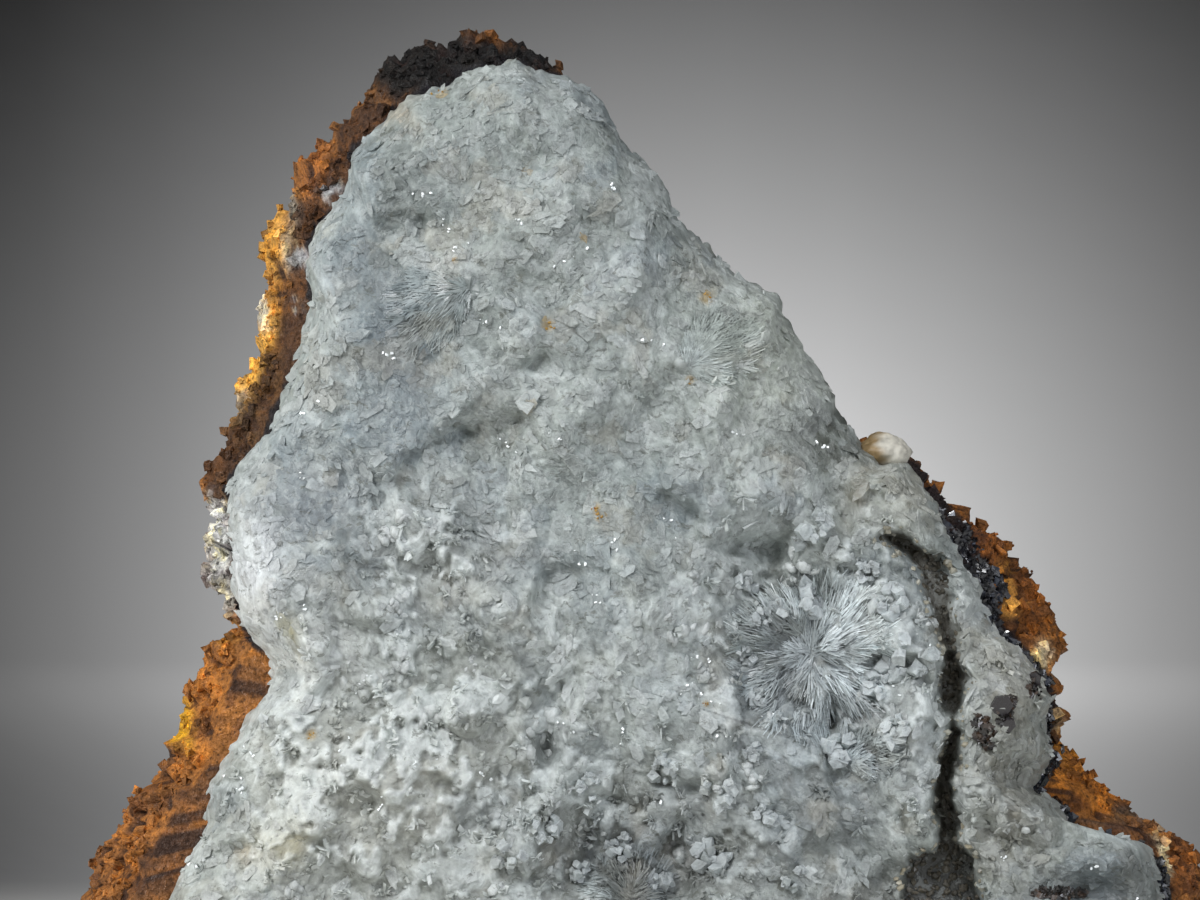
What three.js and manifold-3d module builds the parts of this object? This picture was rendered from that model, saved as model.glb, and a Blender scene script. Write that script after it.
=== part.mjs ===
// A standing hand specimen: a thick pale crust of angastonite, with radiating sprays of minyulite,
// grown on the face of a block of brown limonite rock.
// Millimetres, +Z up. The crystal face looks along -Y, and the block stands on a flat broken base at z = 0.
// The outlines are measured from a vertical centre line of the crystal face, and the finished group is
// moved so that the middle of its base is at the origin.
import * as THREE from "three";
import { mergeVertices } from "three/addons/utils/BufferGeometryUtils.js";
import Module from "manifold-3d";

const wasm = await Module();
wasm.setup();

// Driving dimensions
const HEIGHT = 54; // base to the tip of the block
const CRUST_FRONT = -5.2; // y of the crystal face before its swells and hollows
const CRUST_BACK = 2.6; // y that the crust reaches where it overhangs the rock
const ROCK_FRONT = 1.0; // y of the rock's face under the crust
const ROCK_WIDEST = 4.8; // y of the rock's widest section
const ROCK_DEPTH = 17.5; // from the widest section to the back, at the middle height
const FACET_SIZE = 3.4; // typical width of a flat facet of the crystal face
const FACET_SLOPE = 0.42; // how steeply a facet may tilt
const SEAT_GAP = 0.3; // clearance between pieces that touch
const BELOW_BASE = 30; // size of the block that cuts the base flat

// Numbers of facets
const FACE_RINGS = 12; // the face has 6, 12, 18... points on its rings
const BACK_RINGS = 8;
const SPRAY_RAYS = 9;

// Repeatable random numbers from 0 to 1
function randomSource(seed) {
  let state = seed >>> 0;
  return () => {
    state = (Math.imul(state, 1664525) + 1013904223) >>> 0;
    return state / 4294967296;
  };
}

const fraction = (v) => v - Math.floor(v);
const smooth = (t) => t * t * (3 - 2 * t);
const mix = (a, b, t) => a + (b - a) * t;
const clamp01 = (t) => Math.min(1, Math.max(0, t));
const cornerValue = (i, j, k) => fraction(Math.sin(i * 127.1 + j * 311.7 + k * 74.7) * 43758.5453);

// Smooth noise from -1 to 1 with a lump every `size` millimetres
function lumpNoise(x, y, z, size, offset = 0) {
  const [px, py, pz] = [x / size + offset, y / size, z / size];
  const [i, j, k] = [Math.floor(px), Math.floor(py), Math.floor(pz)];
  const [u, v, w] = [smooth(px - i), smooth(py - j), smooth(pz - k)];
  const edge = (dj, dk) => mix(cornerValue(i, j + dj, k + dk), cornerValue(i + 1, j + dj, k + dk), u);
  return 2 * mix(mix(edge(0, 0), edge(1, 0), v), mix(edge(0, 1), edge(1, 1), v), w) - 1;
}

// The rock's outline, seen from the front, clockwise from the tip: [x, z]
const ROCK_OUTLINE = [
  [-2.8, 52.7], [-1.3, 51.0], [0.3, 49.0], [1.5, 47.0], [2.8, 45.3], [4.5, 43.0], [7.3, 41.0], [8.5, 39.3],
  [10.0, 36.5], [11.3, 34.5], [12.5, 33.5], [14.5, 33.3], [15.9, 32.5], [17.0, 31.3], [18.0, 30.4],
  [19.3, 29.4], [20.3, 28.0], [21.4, 26.6], [22.3, 24.9], [23.3, 23.3], [23.1, 22.0], [22.8, 21.0],
  [23.4, 20.1], [23.0, 19.3], [23.4, 18.4], [24.9, 17.0], [26.3, 15.9], [27.5, 14.5], [29.4, 13.8],
  [30.8, 11.8], [32.0, 8.0], [32.3, 3.5], [31.7, -1.5], [-27.3, -1.5], [-27.6, 2.8], [-27.4, 5.5],
  [-26.7, 8.5], [-25.4, 11.3], [-24.4, 13.6], [-23.6, 14.9], [-22.7, 16.4], [-21.6, 17.9], [-21.5, 19.3],
  [-21.2, 20.9], [-20.3, 22.6], [-19.3, 23.8], [-18.4, 24.8], [-18.9, 26.4], [-19.6, 28.0], [-19.6, 29.8],
  [-19.7, 31.8], [-19.3, 33.8], [-18.7, 35.8], [-18.2, 37.4], [-17.6, 38.5], [-17.5, 39.8], [-17.2, 41.4],
  [-16.9, 42.9], [-16.3, 44.4], [-15.5, 46.0], [-15.1, 47.5], [-14.1, 48.9], [-12.8, 50.4], [-11.6, 51.8],
  [-10.5, 52.6], [-9.3, 53.4], [-7.5, 53.5], [-5.6, HEIGHT], [-4.3, 53.7],
];

// The crust's outline, seen from the front, clockwise from the top: [x, z]
const CRUST_OUTLINE = [
  [-5.0, 52.9], [-3.9, 53.0], [-2.8, 52.4], [-1.4, 52.2], [-0.2, 51.4], [0.6, 50.1], [1.3, 48.9], [2.4, 47.9],
  [3.4, 46.5], [3.8, 45.3], [5.0, 44.1], [6.1, 43.1], [7.5, 42.0], [9.0, 41.2], [9.2, 40.5], [10.0, 39.1],
  [10.8, 37.8], [11.8, 36.3], [12.0, 35.3], [12.8, 34.4], [13.1, 33.8], [14.3, 32.9], [15.4, 32.9],
  [16.0, 32.1], [16.9, 30.8], [17.3, 30.1], [18.0, 28.6], [19.2, 26.5], [19.7, 24.8], [21.1, 23.4],
  [22.0, 22.3], [22.8, 20.9], [22.5, 20.0], [22.7, 18.3], [22.0, 16.3], [23.0, 15.8], [23.9, 14.6],
  [25.3, 13.9], [27.5, 13.6], [28.1, 12.3], [28.4, 10.8], [29.3, 8.0], [29.8, 4.5], [29.5, -1.5],
  [-24.4, -1.5], [-24.6, 3.0], [-24.1, 6.0], [-23.0, 8.8], [-21.6, 11.1], [-20.8, 12.9], [-19.9, 14.5],
  [-19.7, 16.3], [-18.8, 18.1], [-17.7, 20.1], [-16.7, 21.5], [-16.6, 22.7], [-17.4, 23.8], [-18.2, 25.1],
  [-18.5, 26.8], [-18.6, 28.5], [-18.8, 30.5], [-18.6, 32.0], [-17.9, 33.1], [-16.8, 34.2], [-16.2, 35.8],
  [-15.5, 37.5], [-15.0, 39.5], [-14.6, 41.3], [-14.8, 42.9], [-14.4, 44.3], [-13.4, 45.8], [-12.7, 47.0],
  [-12.5, 48.4], [-11.4, 49.6], [-10.4, 50.6], [-9.4, 51.4], [-8.0, 51.8], [-6.5, 52.6],
];

// Swells and hollows of the crystal face: centre x and z, reach in x and z, and how far it stands forward
const FACE_SWELLS = [
  { at: [-16.9, 29.0], reach: [2.0, 4.5], forward: 1.1 }, // rounded lip on the left edge
  { at: [-13.8, 42.8], reach: [1.4, 2.6], forward: 0.8 }, // bright shoulder above it
  { at: [-10.0, 42.0], reach: [1.8, 5.5], forward: -1.0 }, // long shallow valley
  { at: [-13.0, 32.5], reach: [2.4, 3.0], forward: -0.6 },
  { at: [0.0, 40.0], reach: [6.5, 9.5], forward: 1.5 }, // broad upper swell
  { at: [-13.5, 18.0], reach: [5.5, 4.5], forward: 1.1 }, // lower left swell
  { at: [-5.5, 34.0], reach: [3.0, 1.3], forward: -0.7 }, // pitted belt across the middle
  { at: [1.0, 26.5], reach: [4.5, 4.0], forward: 1.2 }, // middle swell
  { at: [12.0, 23.0], reach: [4.6, 5.5], forward: -1.9 }, // recess at the right
  { at: [2.5, 14.0], reach: [6.0, 3.4], forward: -1.9 }, // recess at the bottom
  { at: [8.3, 28.3], reach: [1.6, 1.2], forward: -1.2 }, // nook at the recess's top
  { at: [11.9, 31.2], reach: [1.2, 2.0], forward: -1.5 }, // stained hollow near the right shoulder
  { at: [15.9, 20.5], reach: [1.3, 6.0], forward: 1.3 }, // rounded wall beside the cleft
  { at: [20.3, 20.0], reach: [2.0, 5.0], forward: 0.9 }, // right lobe
  { at: [15.3, 31.0], reach: [1.8, 1.6], forward: 0.9 }, // top of the right lobe
  { at: [14.5, 11.5], reach: [3.0, 2.2], forward: -2.0 }, // hollow at the cleft's foot
  { at: [25.3, 13.0], reach: [2.2, 0.9], forward: 0.9 }, // ledge at the lower right
  { at: [24.6, 11.3], reach: [2.2, 0.9], forward: -1.4 }, // shadow under the ledge
  { at: [7.0, 42.0], reach: [3.4, 4.0], forward: -1.3 }, // thin edge at the upper right
  { at: [11.5, 36.0], reach: [2.6, 3.0], forward: -1.4 },
];

// Rounded lumps fused to the crystal face: centre x and z, radius
const FACE_LUMPS = [
  [18.8, 16.1, 1.3], [20.6, 15.2, 1.2], [20.4, 23.6, 1.0], [22.2, 14.5, 1.0], [14.4, 32.4, 1.2],
  [-11.6, 12.9, 1.1], [-8.4, 14.8, 1.2], [-14.4, 15.3, 1.3], [-6.6, 20.4, 1.3], [-14.4, 24.2, 1.2],
  [-5.3, 25.8, 1.2], [14.9, 24.0, 0.9],
];

// Pits cut into the crystal face: centre x and z, radius in x and z
const FACE_PITS = [
  [-2.7, 18.7, 0.8, 1.2], [4.6, 16.6, 1.0, 0.7], [8.6, 26.9, 0.9, 0.6], [12.3, 30.2, 0.6, 1.3],
  [-0.6, 13.0, 0.6, 1.1], [-6.9, 34.4, 0.8, 0.5], [19.7, 20.3, 0.8, 1.3],
];

// Clusters of flat-faced blades on the crystal face: centre x and z, blade length
const BLADE_CLUSTERS = [
  [-2.8, 15.0, 2.2], [-9.0, 23.6, 2.4], [-6.2, 30.6, 2.2], [-12.6, 19.8, 2.3], [-7.0, 11.6, 2.2],
  [5.6, 12.6, 2.2], [9.6, 27.0, 2.0], [14.4, 19.0, 1.9], [-1.6, 46.4, 2.2], [2.2, 42.6, 2.2],
  [-3.4, 38.6, 2.2], [1.6, 32.8, 2.3], [7.6, 32.4, 2.2], [-10.2, 35.2, 2.2], [-14.6, 10.0, 2.3],
  [-1.8, 7.2, 2.3], [-9.6, 6.2, 2.4], [5.8, 5.4, 2.3], [22.0, 7.6, 2.2], [0.4, 21.6, 2.2], [-14.4, 29.6, 2.1],
];
const BLADES_IN_CLUSTER = 3;
const BLADE_WIDTH = 0.62; // share of the length
const BLADE_THICKNESS = 0.22; // share of the length

// The cleft between the main face and the right lobe, with the hollow at its foot, seen from the front: [x, z]
const CLEFT_OUTLINE = [
  [14.4, 29.0], [15.8, 28.0], [16.9, 26.5], [17.4, 24.5], [17.2, 22.0], [17.6, 19.5], [17.2, 17.0], [17.5, 15.3],
  [16.8, 13.8], [15.4, 12.9], [14.6, 12.2], [14.4, 11.3], [15.3, 10.5], [16.6, 10.2], [17.8, 9.3], [19.2, 9.6],
  [19.9, 11.2], [19.6, 12.8], [18.4, 14.3], [18.1, 16.5], [18.3, 18.8], [18.6, 21.5], [18.9, 23.5], [18.5, 25.3],
  [17.7, 27.0], [16.8, 28.4], [15.7, 29.1],
];
const CLEFT_FLOOR = -1.2; // y of the bottom of the cleft
const CLEFT_TAPER = { widen: 0.25, over: 2.2 };

// Radiating sprays: centre x and z, radius, dome height, direction of the fan in degrees and half its spread
const SPRAYS = [
  { name: "minyulite_spray_main", at: [10.6, 23.3], radius: 4.9, dome: 0.9, heading: 0, spread: 180 },
  { name: "minyulite_fan_upper_right", at: [4.3, 37.6], radius: 4.7, dome: 0.6, heading: 32, spread: 62 },
  { name: "minyulite_fan_lower_right", at: [12.2, 17.9], radius: 3.2, dome: 0.6, heading: 15, spread: 60 },
  { name: "minyulite_fan_upper_left", at: [-6.6, 41.6], radius: 4.9, dome: 0.5, heading: 205, spread: 62 },
  { name: "minyulite_spray_bottom", at: [1.5, 11.0], radius: 3.0, dome: 0.7, heading: 0, spread: 180 },
];
const SPRAY_ROOT = 0.9; // how far a spray is set into the crust
const SPRAY_RINGS = [0.5, 1]; // shares of the radius
const RAY_RIDGE = 0.35; // how far every second ray stands proud

// Flat fracture faces of the rock: outward direction and distance from the middle of the block
const FRACTURES = [
  { facing: [0.1, 0.95, 0.1], distance: 14.8 },
  { facing: [-0.5, 0.8, 0.2], distance: 18.6 },
  { facing: [0.6, 0.75, 0.15], distance: 21.0 },
  { facing: [-0.15, 0.82, 0.5], distance: 21.5 },
  { facing: [0.4, 0.6, 0.6], distance: 23.0 },
  { facing: [-0.75, 0.62, -0.1], distance: 27.5 },
];
const ROCK_MIDDLE = [1.5, 4, 20];

// A closed smooth curve through the outline's points
function outlineCurve(outline) {
  return new THREE.CatmullRomCurve3(outline.map(([x, z]) => new THREE.Vector3(x, 0, z)), true, "centripetal");
}

// Faces of a disc whose ring k has 6k points, so that its triangles stay near one size.
// `at(k, i)` gives the number of point i of ring k, and ring 0 is the middle.
function discFaces(rings, at, turned) {
  const faces = [];
  const add = (a, b, c) => faces.push(...(turned ? [a, c, b] : [a, b, c]));
  for (let k = 0; k < rings; k++) {
    for (let side = 0; side < 6; side++) {
      for (let j = 0; j <= k; j++) {
        const outer = side * (k + 1) + j;
        add(at(k, side * k + j), at(k + 1, outer), at(k + 1, outer + 1));
        if (j < k) add(at(k, side * k + j), at(k + 1, outer + 1), at(k, side * k + j + 1));
      }
    }
  }
  return faces;
}

// A closed body: a front disc, side sections, and a back disc or, on a flat back, a fan of faces.
// `place(share, along, corner)` puts a point at a share of the way from the middle to the outline's corner.
// Each section is [share, along], and the first and last ones are the rims of the front and the back.
function cushionBody(outline, rings, sections, place, flatBack = false) {
  const curve = outlineCurve(outline);
  curve.arcLengthDivisions = 800;
  const sides = 6 * rings;
  const corner = (k, i) => curve.getPointAt(k ? (i % (6 * k)) / (6 * k) : 0);
  const points = [];
  const discStarts = ([share, along]) => Array.from({ length: rings + 1 }, (_, k) => {
    const start = points.length;
    for (let i = 0; i < Math.max(1, 6 * k); i++) points.push(place((share * k) / rings, along, corner(k, i)));
    return start;
  });
  const discAt = (starts) => (k, i) => starts[k] + (k ? i % (6 * k) : 0);

  const front = discStarts(sections[0]);
  const faces = discFaces(rings, discAt(front), false);
  const sectionStarts = [front[rings]];
  for (const [share, along] of sections.slice(1, flatBack ? undefined : -1)) {
    sectionStarts.push(points.length);
    for (let i = 0; i < sides; i++) points.push(place(share, along, corner(rings, i)));
  }
  if (flatBack) {
    const rim = sectionStarts.at(-1);
    points.push(place(0, sections.at(-1)[1], corner(0, 0)));
    for (let i = 0; i < sides; i++) faces.push(rim + i, points.length - 1, rim + ((i + 1) % sides));
  } else {
    const back = discStarts(sections.at(-1));
    faces.push(...discFaces(rings, discAt(back), true));
    sectionStarts.push(back[rings]);
  }
  for (let n = 0; n + 1 < sectionStarts.length; n++) {
    const [here, there] = [sectionStarts[n], sectionStarts[n + 1]];
    for (let i = 0; i < sides; i++) {
      const next = (i + 1) % sides;
      faces.push(here + i, there + i, there + next);
      faces.push(here + i, there + next, here + next);
    }
  }
  return solidFrom(points.flatMap((p) => [p.x, p.y, p.z]), faces);
}

// A closed body from rings of equal size between a front pole and a back pole
function ringBody(front, rings, back) {
  const sides = rings[0].length;
  const points = [front, ...rings.flat(), back];
  const at = (ring, i) => 1 + ring * sides + (i % sides);
  const faces = [];
  for (let i = 0; i < sides; i++) {
    faces.push(0, at(0, i), at(0, i + 1));
    for (let ring = 0; ring + 1 < rings.length; ring++) {
      faces.push(at(ring, i), at(ring + 1, i), at(ring + 1, i + 1));
      faces.push(at(ring, i), at(ring + 1, i + 1), at(ring, i + 1));
    }
    faces.push(at(rings.length - 1, i), points.length - 1, at(rings.length - 1, i + 1));
  }
  return solidFrom(points.flatMap((p) => [p.x, p.y, p.z]), faces);
}

// A solid from its corners and triangles, turned over if it comes inside out
function solidFrom(coordinates, faces) {
  const mesh = { numProp: 3, vertProperties: new Float32Array(coordinates), triVerts: new Uint32Array(faces) };
  const solid = new wasm.Manifold(new wasm.Mesh(mesh));
  if (solid.volume() > 0) return solid;
  for (let i = 0; i < faces.length; i += 3) mesh.triVerts.set([faces[i + 2], faces[i + 1], faces[i]], i);
  return new wasm.Manifold(new wasm.Mesh(mesh));
}

// A three.js geometry as a solid
function solidOf(geometry, matrix) {
  const plain = geometry.clone();
  if (matrix) plain.applyMatrix4(matrix);
  plain.deleteAttribute("normal");
  plain.deleteAttribute("uv");
  const merged = mergeVertices(plain, 1e-4);
  return solidFrom([...merged.attributes.position.array], [...merged.index.array]);
}

function geometryOf(solid) {
  const mesh = solid.getMesh();
  const geometry = new THREE.BufferGeometry();
  geometry.setAttribute("position", new THREE.BufferAttribute(new Float32Array(mesh.vertProperties), 3));
  geometry.setIndex(new THREE.BufferAttribute(new Uint32Array(mesh.triVerts), 1));
  return geometry.toNonIndexed();
}

const joined = (solids) => solids.reduce((whole, piece) => whole.add(piece));
const largestBody = (solid) => solid.decompose().sort((a, b) => b.volume() - a.volume())[0];

// What lies under the base is cut away
function belowBase() {
  const box = new THREE.BoxGeometry(4 * BELOW_BASE, 4 * BELOW_BASE, BELOW_BASE);
  return solidOf(box, new THREE.Matrix4().makeTranslation(0, 0, -BELOW_BASE / 2));
}

// The block is thicker at its foot than at its tip
const thicknessAt = (z) => mix(1.14, 0.5, clamp01(z / HEIGHT));

// The rock's sections from front to back: share of the outline, and y before the taper towards the tip
const ROCK_SECTIONS = [
  [0.9, 0.06], [0.96, 0.4], [0.99, 0.75], [1, 1], [0.995, 1.15], [0.98, 1.32], [0.955, 1.5], [0.915, 1.68],
  [0.85, 1.84], [0.76, 1.95],
];

// y at a place along the sections: 0 is the face, 1 the widest section and 2 the back
function rockDepth(along, z) {
  if (along <= 1) return mix(ROCK_FRONT, ROCK_WIDEST, along);
  return ROCK_WIDEST + (along - 1) * ROCK_DEPTH * thicknessAt(z);
}

// Lumps and ledges push a point of the rock away from the block's middle, less so on the face under the crust
function roughenRock(point, along) {
  const middle = new THREE.Vector3(...ROCK_MIDDLE);
  const outward = point.clone().sub(middle).normalize();
  const coarse = lumpNoise(point.x, point.y, point.z, 6.5, 3.7);
  const fine = lumpNoise(point.x, point.y, point.z, 2.6, 9.1);
  const ledges = smooth(fraction(point.z / 7 + 0.25 * lumpNoise(point.x, point.y, 0, 8, 1.3)));
  const bare = clamp01(along - 0.85);
  const edge = smooth(clamp01(along / 0.5));
  const facets = facetHeight(point.x, point.z, 7.5, 0.5);
  const push = edge * (0.15 * coarse + 0.2 * fine) + bare * (1.0 * coarse + 0.4 * fine + 0.9 * ledges + facets - 0.5);
  point.addScaledVector(outward, push);
}

// Points beyond a fracture face are pressed back on to it
function breakRock(point) {
  for (const { facing, distance } of FRACTURES) {
    const normal = new THREE.Vector3(...facing).normalize();
    const beyond = point.clone().sub(new THREE.Vector3(...ROCK_MIDDLE)).dot(normal) - distance;
    if (beyond > 0) point.addScaledVector(normal, -beyond);
  }
}

// The limonite block. `grow` swells it, to cut the room that it takes up out of the crust.
function rockSolid(grow = 0) {
  const centre = new THREE.Vector3(0.5, 0, 19);
  const place = (share, along, corner) => {
    const point = centre.clone().lerp(corner, share);
    point.y = rockDepth(along, point.z);
    roughenRock(point, along);
    breakRock(point);
    if (grow) {
      const sideways = corner.clone().sub(centre).normalize().multiplyScalar(grow * smooth(share));
      point.add(sideways).add(new THREE.Vector3(0, along < 1 ? -grow : grow, 0));
    }
    return point;
  };
  return cushionBody(ROCK_OUTLINE, BACK_RINGS, ROCK_SECTIONS, place);
}

// y of the crystal face at x, z before its edge rolls back
function faceDepth(x, z) {
  let y = CRUST_FRONT;
  for (const { at, reach, forward } of FACE_SWELLS) {
    y -= forward * Math.exp(-(((x - at[0]) / reach[0]) ** 2) - ((z - at[1]) / reach[1]) ** 2);
  }
  return y - 0.45 * lumpNoise(x, 0, z, 4.2, 5.5) - facetHeight(x, z, FACET_SIZE, FACET_SLOPE);
}

// Flat facets of about one size, each tilted its own way about the middle of its cell
function facetHeight(x, z, size, steepest) {
  let nearest = { away: Infinity };
  const [column, row] = [Math.floor(x / size), Math.floor(z / size)];
  for (let i = column - 1; i <= column + 1; i++) {
    for (let j = row - 1; j <= row + 1; j++) {
      const dx = x - size * (i + cornerValue(i, j, 1));
      const dz = z - size * (j + cornerValue(i, j, 2));
      const away = Math.hypot(dx, dz);
      if (away < nearest.away) nearest = { away, dx, dz, i, j };
    }
  }
  const slope = (which) => steepest * (2 * cornerValue(nearest.i, nearest.j, which) - 1);
  return slope(3) * nearest.dx + slope(4) * nearest.dz;
}

// The crust's sections: share of the outline, and how far the face has rolled back, from 0 to 1
const CRUST_SECTIONS = [[0.9, 0.08], [0.945, 0.22], [0.98, 0.45], [1, 0.75], [0.985, 1]];
const CRUST_CENTRE = new THREE.Vector3(0.5, 0, 22);

// How far the face has rolled back at a share of the outline
function rollAt(share) {
  if (share < CRUST_SECTIONS[0][0]) return CRUST_SECTIONS[0][1] * (share / CRUST_SECTIONS[0][0]) ** 10;
  const next = CRUST_SECTIONS.findIndex(([reach]) => reach > share);
  if (next < 1) return 1;
  const [[a, rollA], [b, rollB]] = [CRUST_SECTIONS[next - 1], CRUST_SECTIONS[next]];
  return mix(rollA, rollB, (share - a) / (b - a));
}

// How far x, z is on the way from the crust's centre to its outline
function shareAt(x, z) {
  const [dx, dz] = [x - CRUST_CENTRE.x, z - CRUST_CENTRE.z];
  for (let i = 0; i < CRUST_OUTLINE.length; i++) {
    const [ax, az] = CRUST_OUTLINE[i];
    const [bx, bz] = CRUST_OUTLINE[(i + 1) % CRUST_OUTLINE.length];
    const [ex, ez] = [bx - ax, bz - az];
    const cross = dx * ez - dz * ex;
    const reach = ((ax - CRUST_CENTRE.x) * ez - (az - CRUST_CENTRE.z) * ex) / cross;
    const along = ((ax - CRUST_CENTRE.x) * dz - (az - CRUST_CENTRE.z) * dx) / cross;
    if (reach > 0 && along >= 0 && along <= 1) return 1 / reach;
  }
  return 0;
}

// y of the crust's surface at x, z, rolled back near its edge
const surfaceDepth = (x, z) => mix(faceDepth(x, z), CRUST_BACK, rollAt(shareAt(x, z)));

function crustBlank() {
  const last = CRUST_SECTIONS.length - 1;
  const place = (share, roll, corner) => {
    const point = CRUST_CENTRE.clone().lerp(corner, share);
    const onFace = share < CRUST_SECTIONS[0][0] && roll < CRUST_SECTIONS[last][1];
    point.y = mix(faceDepth(point.x, point.z), CRUST_BACK, onFace ? rollAt(share) : roll);
    return point;
  };
  return cushionBody(CRUST_OUTLINE, FACE_RINGS, CRUST_SECTIONS, place, true);
}

function ellipsoid(centre, radii, detail) {
  const matrix = new THREE.Matrix4().makeTranslation(...centre).scale(new THREE.Vector3(...radii));
  return solidOf(new THREE.IcosahedronGeometry(1, detail), matrix);
}

function lumps() {
  return FACE_LUMPS.map(([x, z, r]) => ellipsoid([x, surfaceDepth(x, z) + 0.35 * r, z], [r, 0.9 * r, r], 1));
}

function pits() {
  return FACE_PITS.map(([x, z, rx, rz]) => ellipsoid([x, surfaceDepth(x, z) - 0.1, z], [rx, 1.8 * Math.max(rx, rz), rz], 1));
}

// A thin pointed blade with flat faces, its root at the origin and its length along its own x
function blade(length, width, thickness) {
  const shape = new THREE.Shape([
    new THREE.Vector2(-length / 4, -width / 3),
    new THREE.Vector2(length * 0.7, -width / 2),
    new THREE.Vector2(length, 0),
    new THREE.Vector2(length * 0.7, width / 2),
    new THREE.Vector2(-length / 4, width / 3),
  ]);
  const geometry = new THREE.ExtrudeGeometry(shape, { depth: thickness, bevelEnabled: false });
  return geometry.translate(0, 0, -thickness / 2);
}

// Blades that lean out of the face in different directions from each cluster's centre
function bladeClusters() {
  const random = randomSource(41);
  const blades = [];
  for (const [x, z, length] of BLADE_CLUSTERS) {
    const start = random() * Math.PI;
    for (let i = 0; i < BLADES_IN_CLUSTER; i++) {
      const heading = start + (2 * Math.PI * i) / BLADES_IN_CLUSTER + 0.5 * random();
      const lean = 0.55 + 0.4 * random();
      const size = length * (0.8 + 0.4 * random());
      const along = new THREE.Vector3(Math.cos(heading) * Math.cos(lean), -Math.sin(lean), Math.sin(heading) * Math.cos(lean));
      const across = new THREE.Vector3(-Math.sin(heading), 0, Math.cos(heading));
      const place = new THREE.Matrix4().makeBasis(along, across, along.clone().cross(across));
      place.setPosition(x + 0.3 * along.x, surfaceDepth(x, z) + 0.2, z + 0.3 * along.z);
      blades.push(solidOf(blade(size, BLADE_WIDTH * size, BLADE_THICKNESS * size), place));
    }
  }
  return blades;
}

// The cleft's outline pushed through the crust, a little narrower at its floor
function cleft() {
  const shape = new THREE.Shape(CLEFT_OUTLINE.map(([x, z]) => new THREE.Vector2(x, z)));
  const { widen, over } = CLEFT_TAPER;
  const options = { depth: 12, bevelEnabled: true, bevelThickness: over, bevelSize: widen, bevelSegments: 1 };
  const geometry = new THREE.ExtrudeGeometry(shape, options);
  const matrix = new THREE.Matrix4().makeRotationX(Math.PI / 2);
  matrix.premultiply(new THREE.Matrix4().makeTranslation(0, CLEFT_FLOOR - over, 0));
  return solidOf(geometry, matrix);
}

// A low dome of rays set into the face: its reach shrinks outside the fan's spread, and every second ray stands proud
function spraySolid({ at, radius, dome, heading, spread }, grow = 0) {
  const sides = 2 * SPRAY_RAYS;
  const face = surfaceDepth(...at);
  const reachAt = (i) => {
    const angle = (360 * i) / sides;
    const off = Math.abs(((angle - heading + 540) % 360) - 180);
    const inside = spread >= 180 ? 1 : clamp01(1.25 - off / spread);
    const ragged = 0.9 + 0.1 * Math.sin(2.3 * i) - 0.1 * (i % 2);
    return radius * mix(0.22, 1, smooth(inside)) * ragged + grow;
  };
  const ringAt = (share, y) => Array.from({ length: sides }, (_, i) => {
    const angle = (2 * Math.PI * i) / sides;
    const reach = reachAt(i) * share;
    const proud = RAY_RIDGE * (i % 2) * (share < 1 ? 1 : 0.4);
    return new THREE.Vector3(at[0] + reach * Math.cos(angle), y - proud, at[1] + reach * Math.sin(angle));
  });
  const top = SPRAY_RINGS.map((share) => ringAt(share, face + 0.05 - (dome + grow) * (1 - share ** 2)));
  const root = ringAt(0.8, face + SPRAY_ROOT + grow);
  const pole = (y) => new THREE.Vector3(at[0], y, at[1]);
  return ringBody(pole(face - dome - grow), [...top, root], pole(face + SPRAY_ROOT + grow));
}

function crustSolid() {
  const grown = joined([crustBlank(), ...lumps(), ...bladeClusters()]);
  const seats = [
    rockSolid(SEAT_GAP),
    ...SPRAYS.map((spray) => spraySolid(spray, SEAT_GAP)),
  ];
  return largestBody(grown.subtract(joined([belowBase(), cleft(), ...pits(), ...seats])));
}

function finish(colour, roughness, metalness = 0) {
  return new THREE.MeshStandardMaterial({ color: colour, roughness, metalness });
}

const MATERIALS = {
  limonite: finish("#9a5a22", 0.85),
  crust: finish("#c9cfca", 0.45),
  spray: finish("#aab2b8", 0.3),
};

const specimen = new THREE.Group();
specimen.name = "angastonite_with_minyulite";

function addPiece(name, solid, material) {
  const mesh = new THREE.Mesh(geometryOf(solid), material);
  mesh.name = name;
  specimen.add(mesh);
}

addPiece("limonite_matrix", largestBody(rockSolid().subtract(belowBase())), MATERIALS.limonite);
addPiece("angastonite_crust", crustSolid(), MATERIALS.crust);
for (const spray of SPRAYS) addPiece(spray.name, spraySolid(spray), MATERIALS.spray);

// The middle of the base goes to the origin
const extent = new THREE.Box3().setFromObject(specimen);
const middle = extent.getCenter(new THREE.Vector3());
specimen.position.set(-middle.x, -middle.y, -extent.min.z);

export default specimen;
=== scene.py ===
# A standing hand specimen: a pale angastonite crust with minyulite sprays on a block of brown limonite.
# Shapes are worked out in millimetres from the centre line of the crystal face, as in the part's own
# outlines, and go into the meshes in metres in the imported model's frame. The face looks along -Y.
import math

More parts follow.
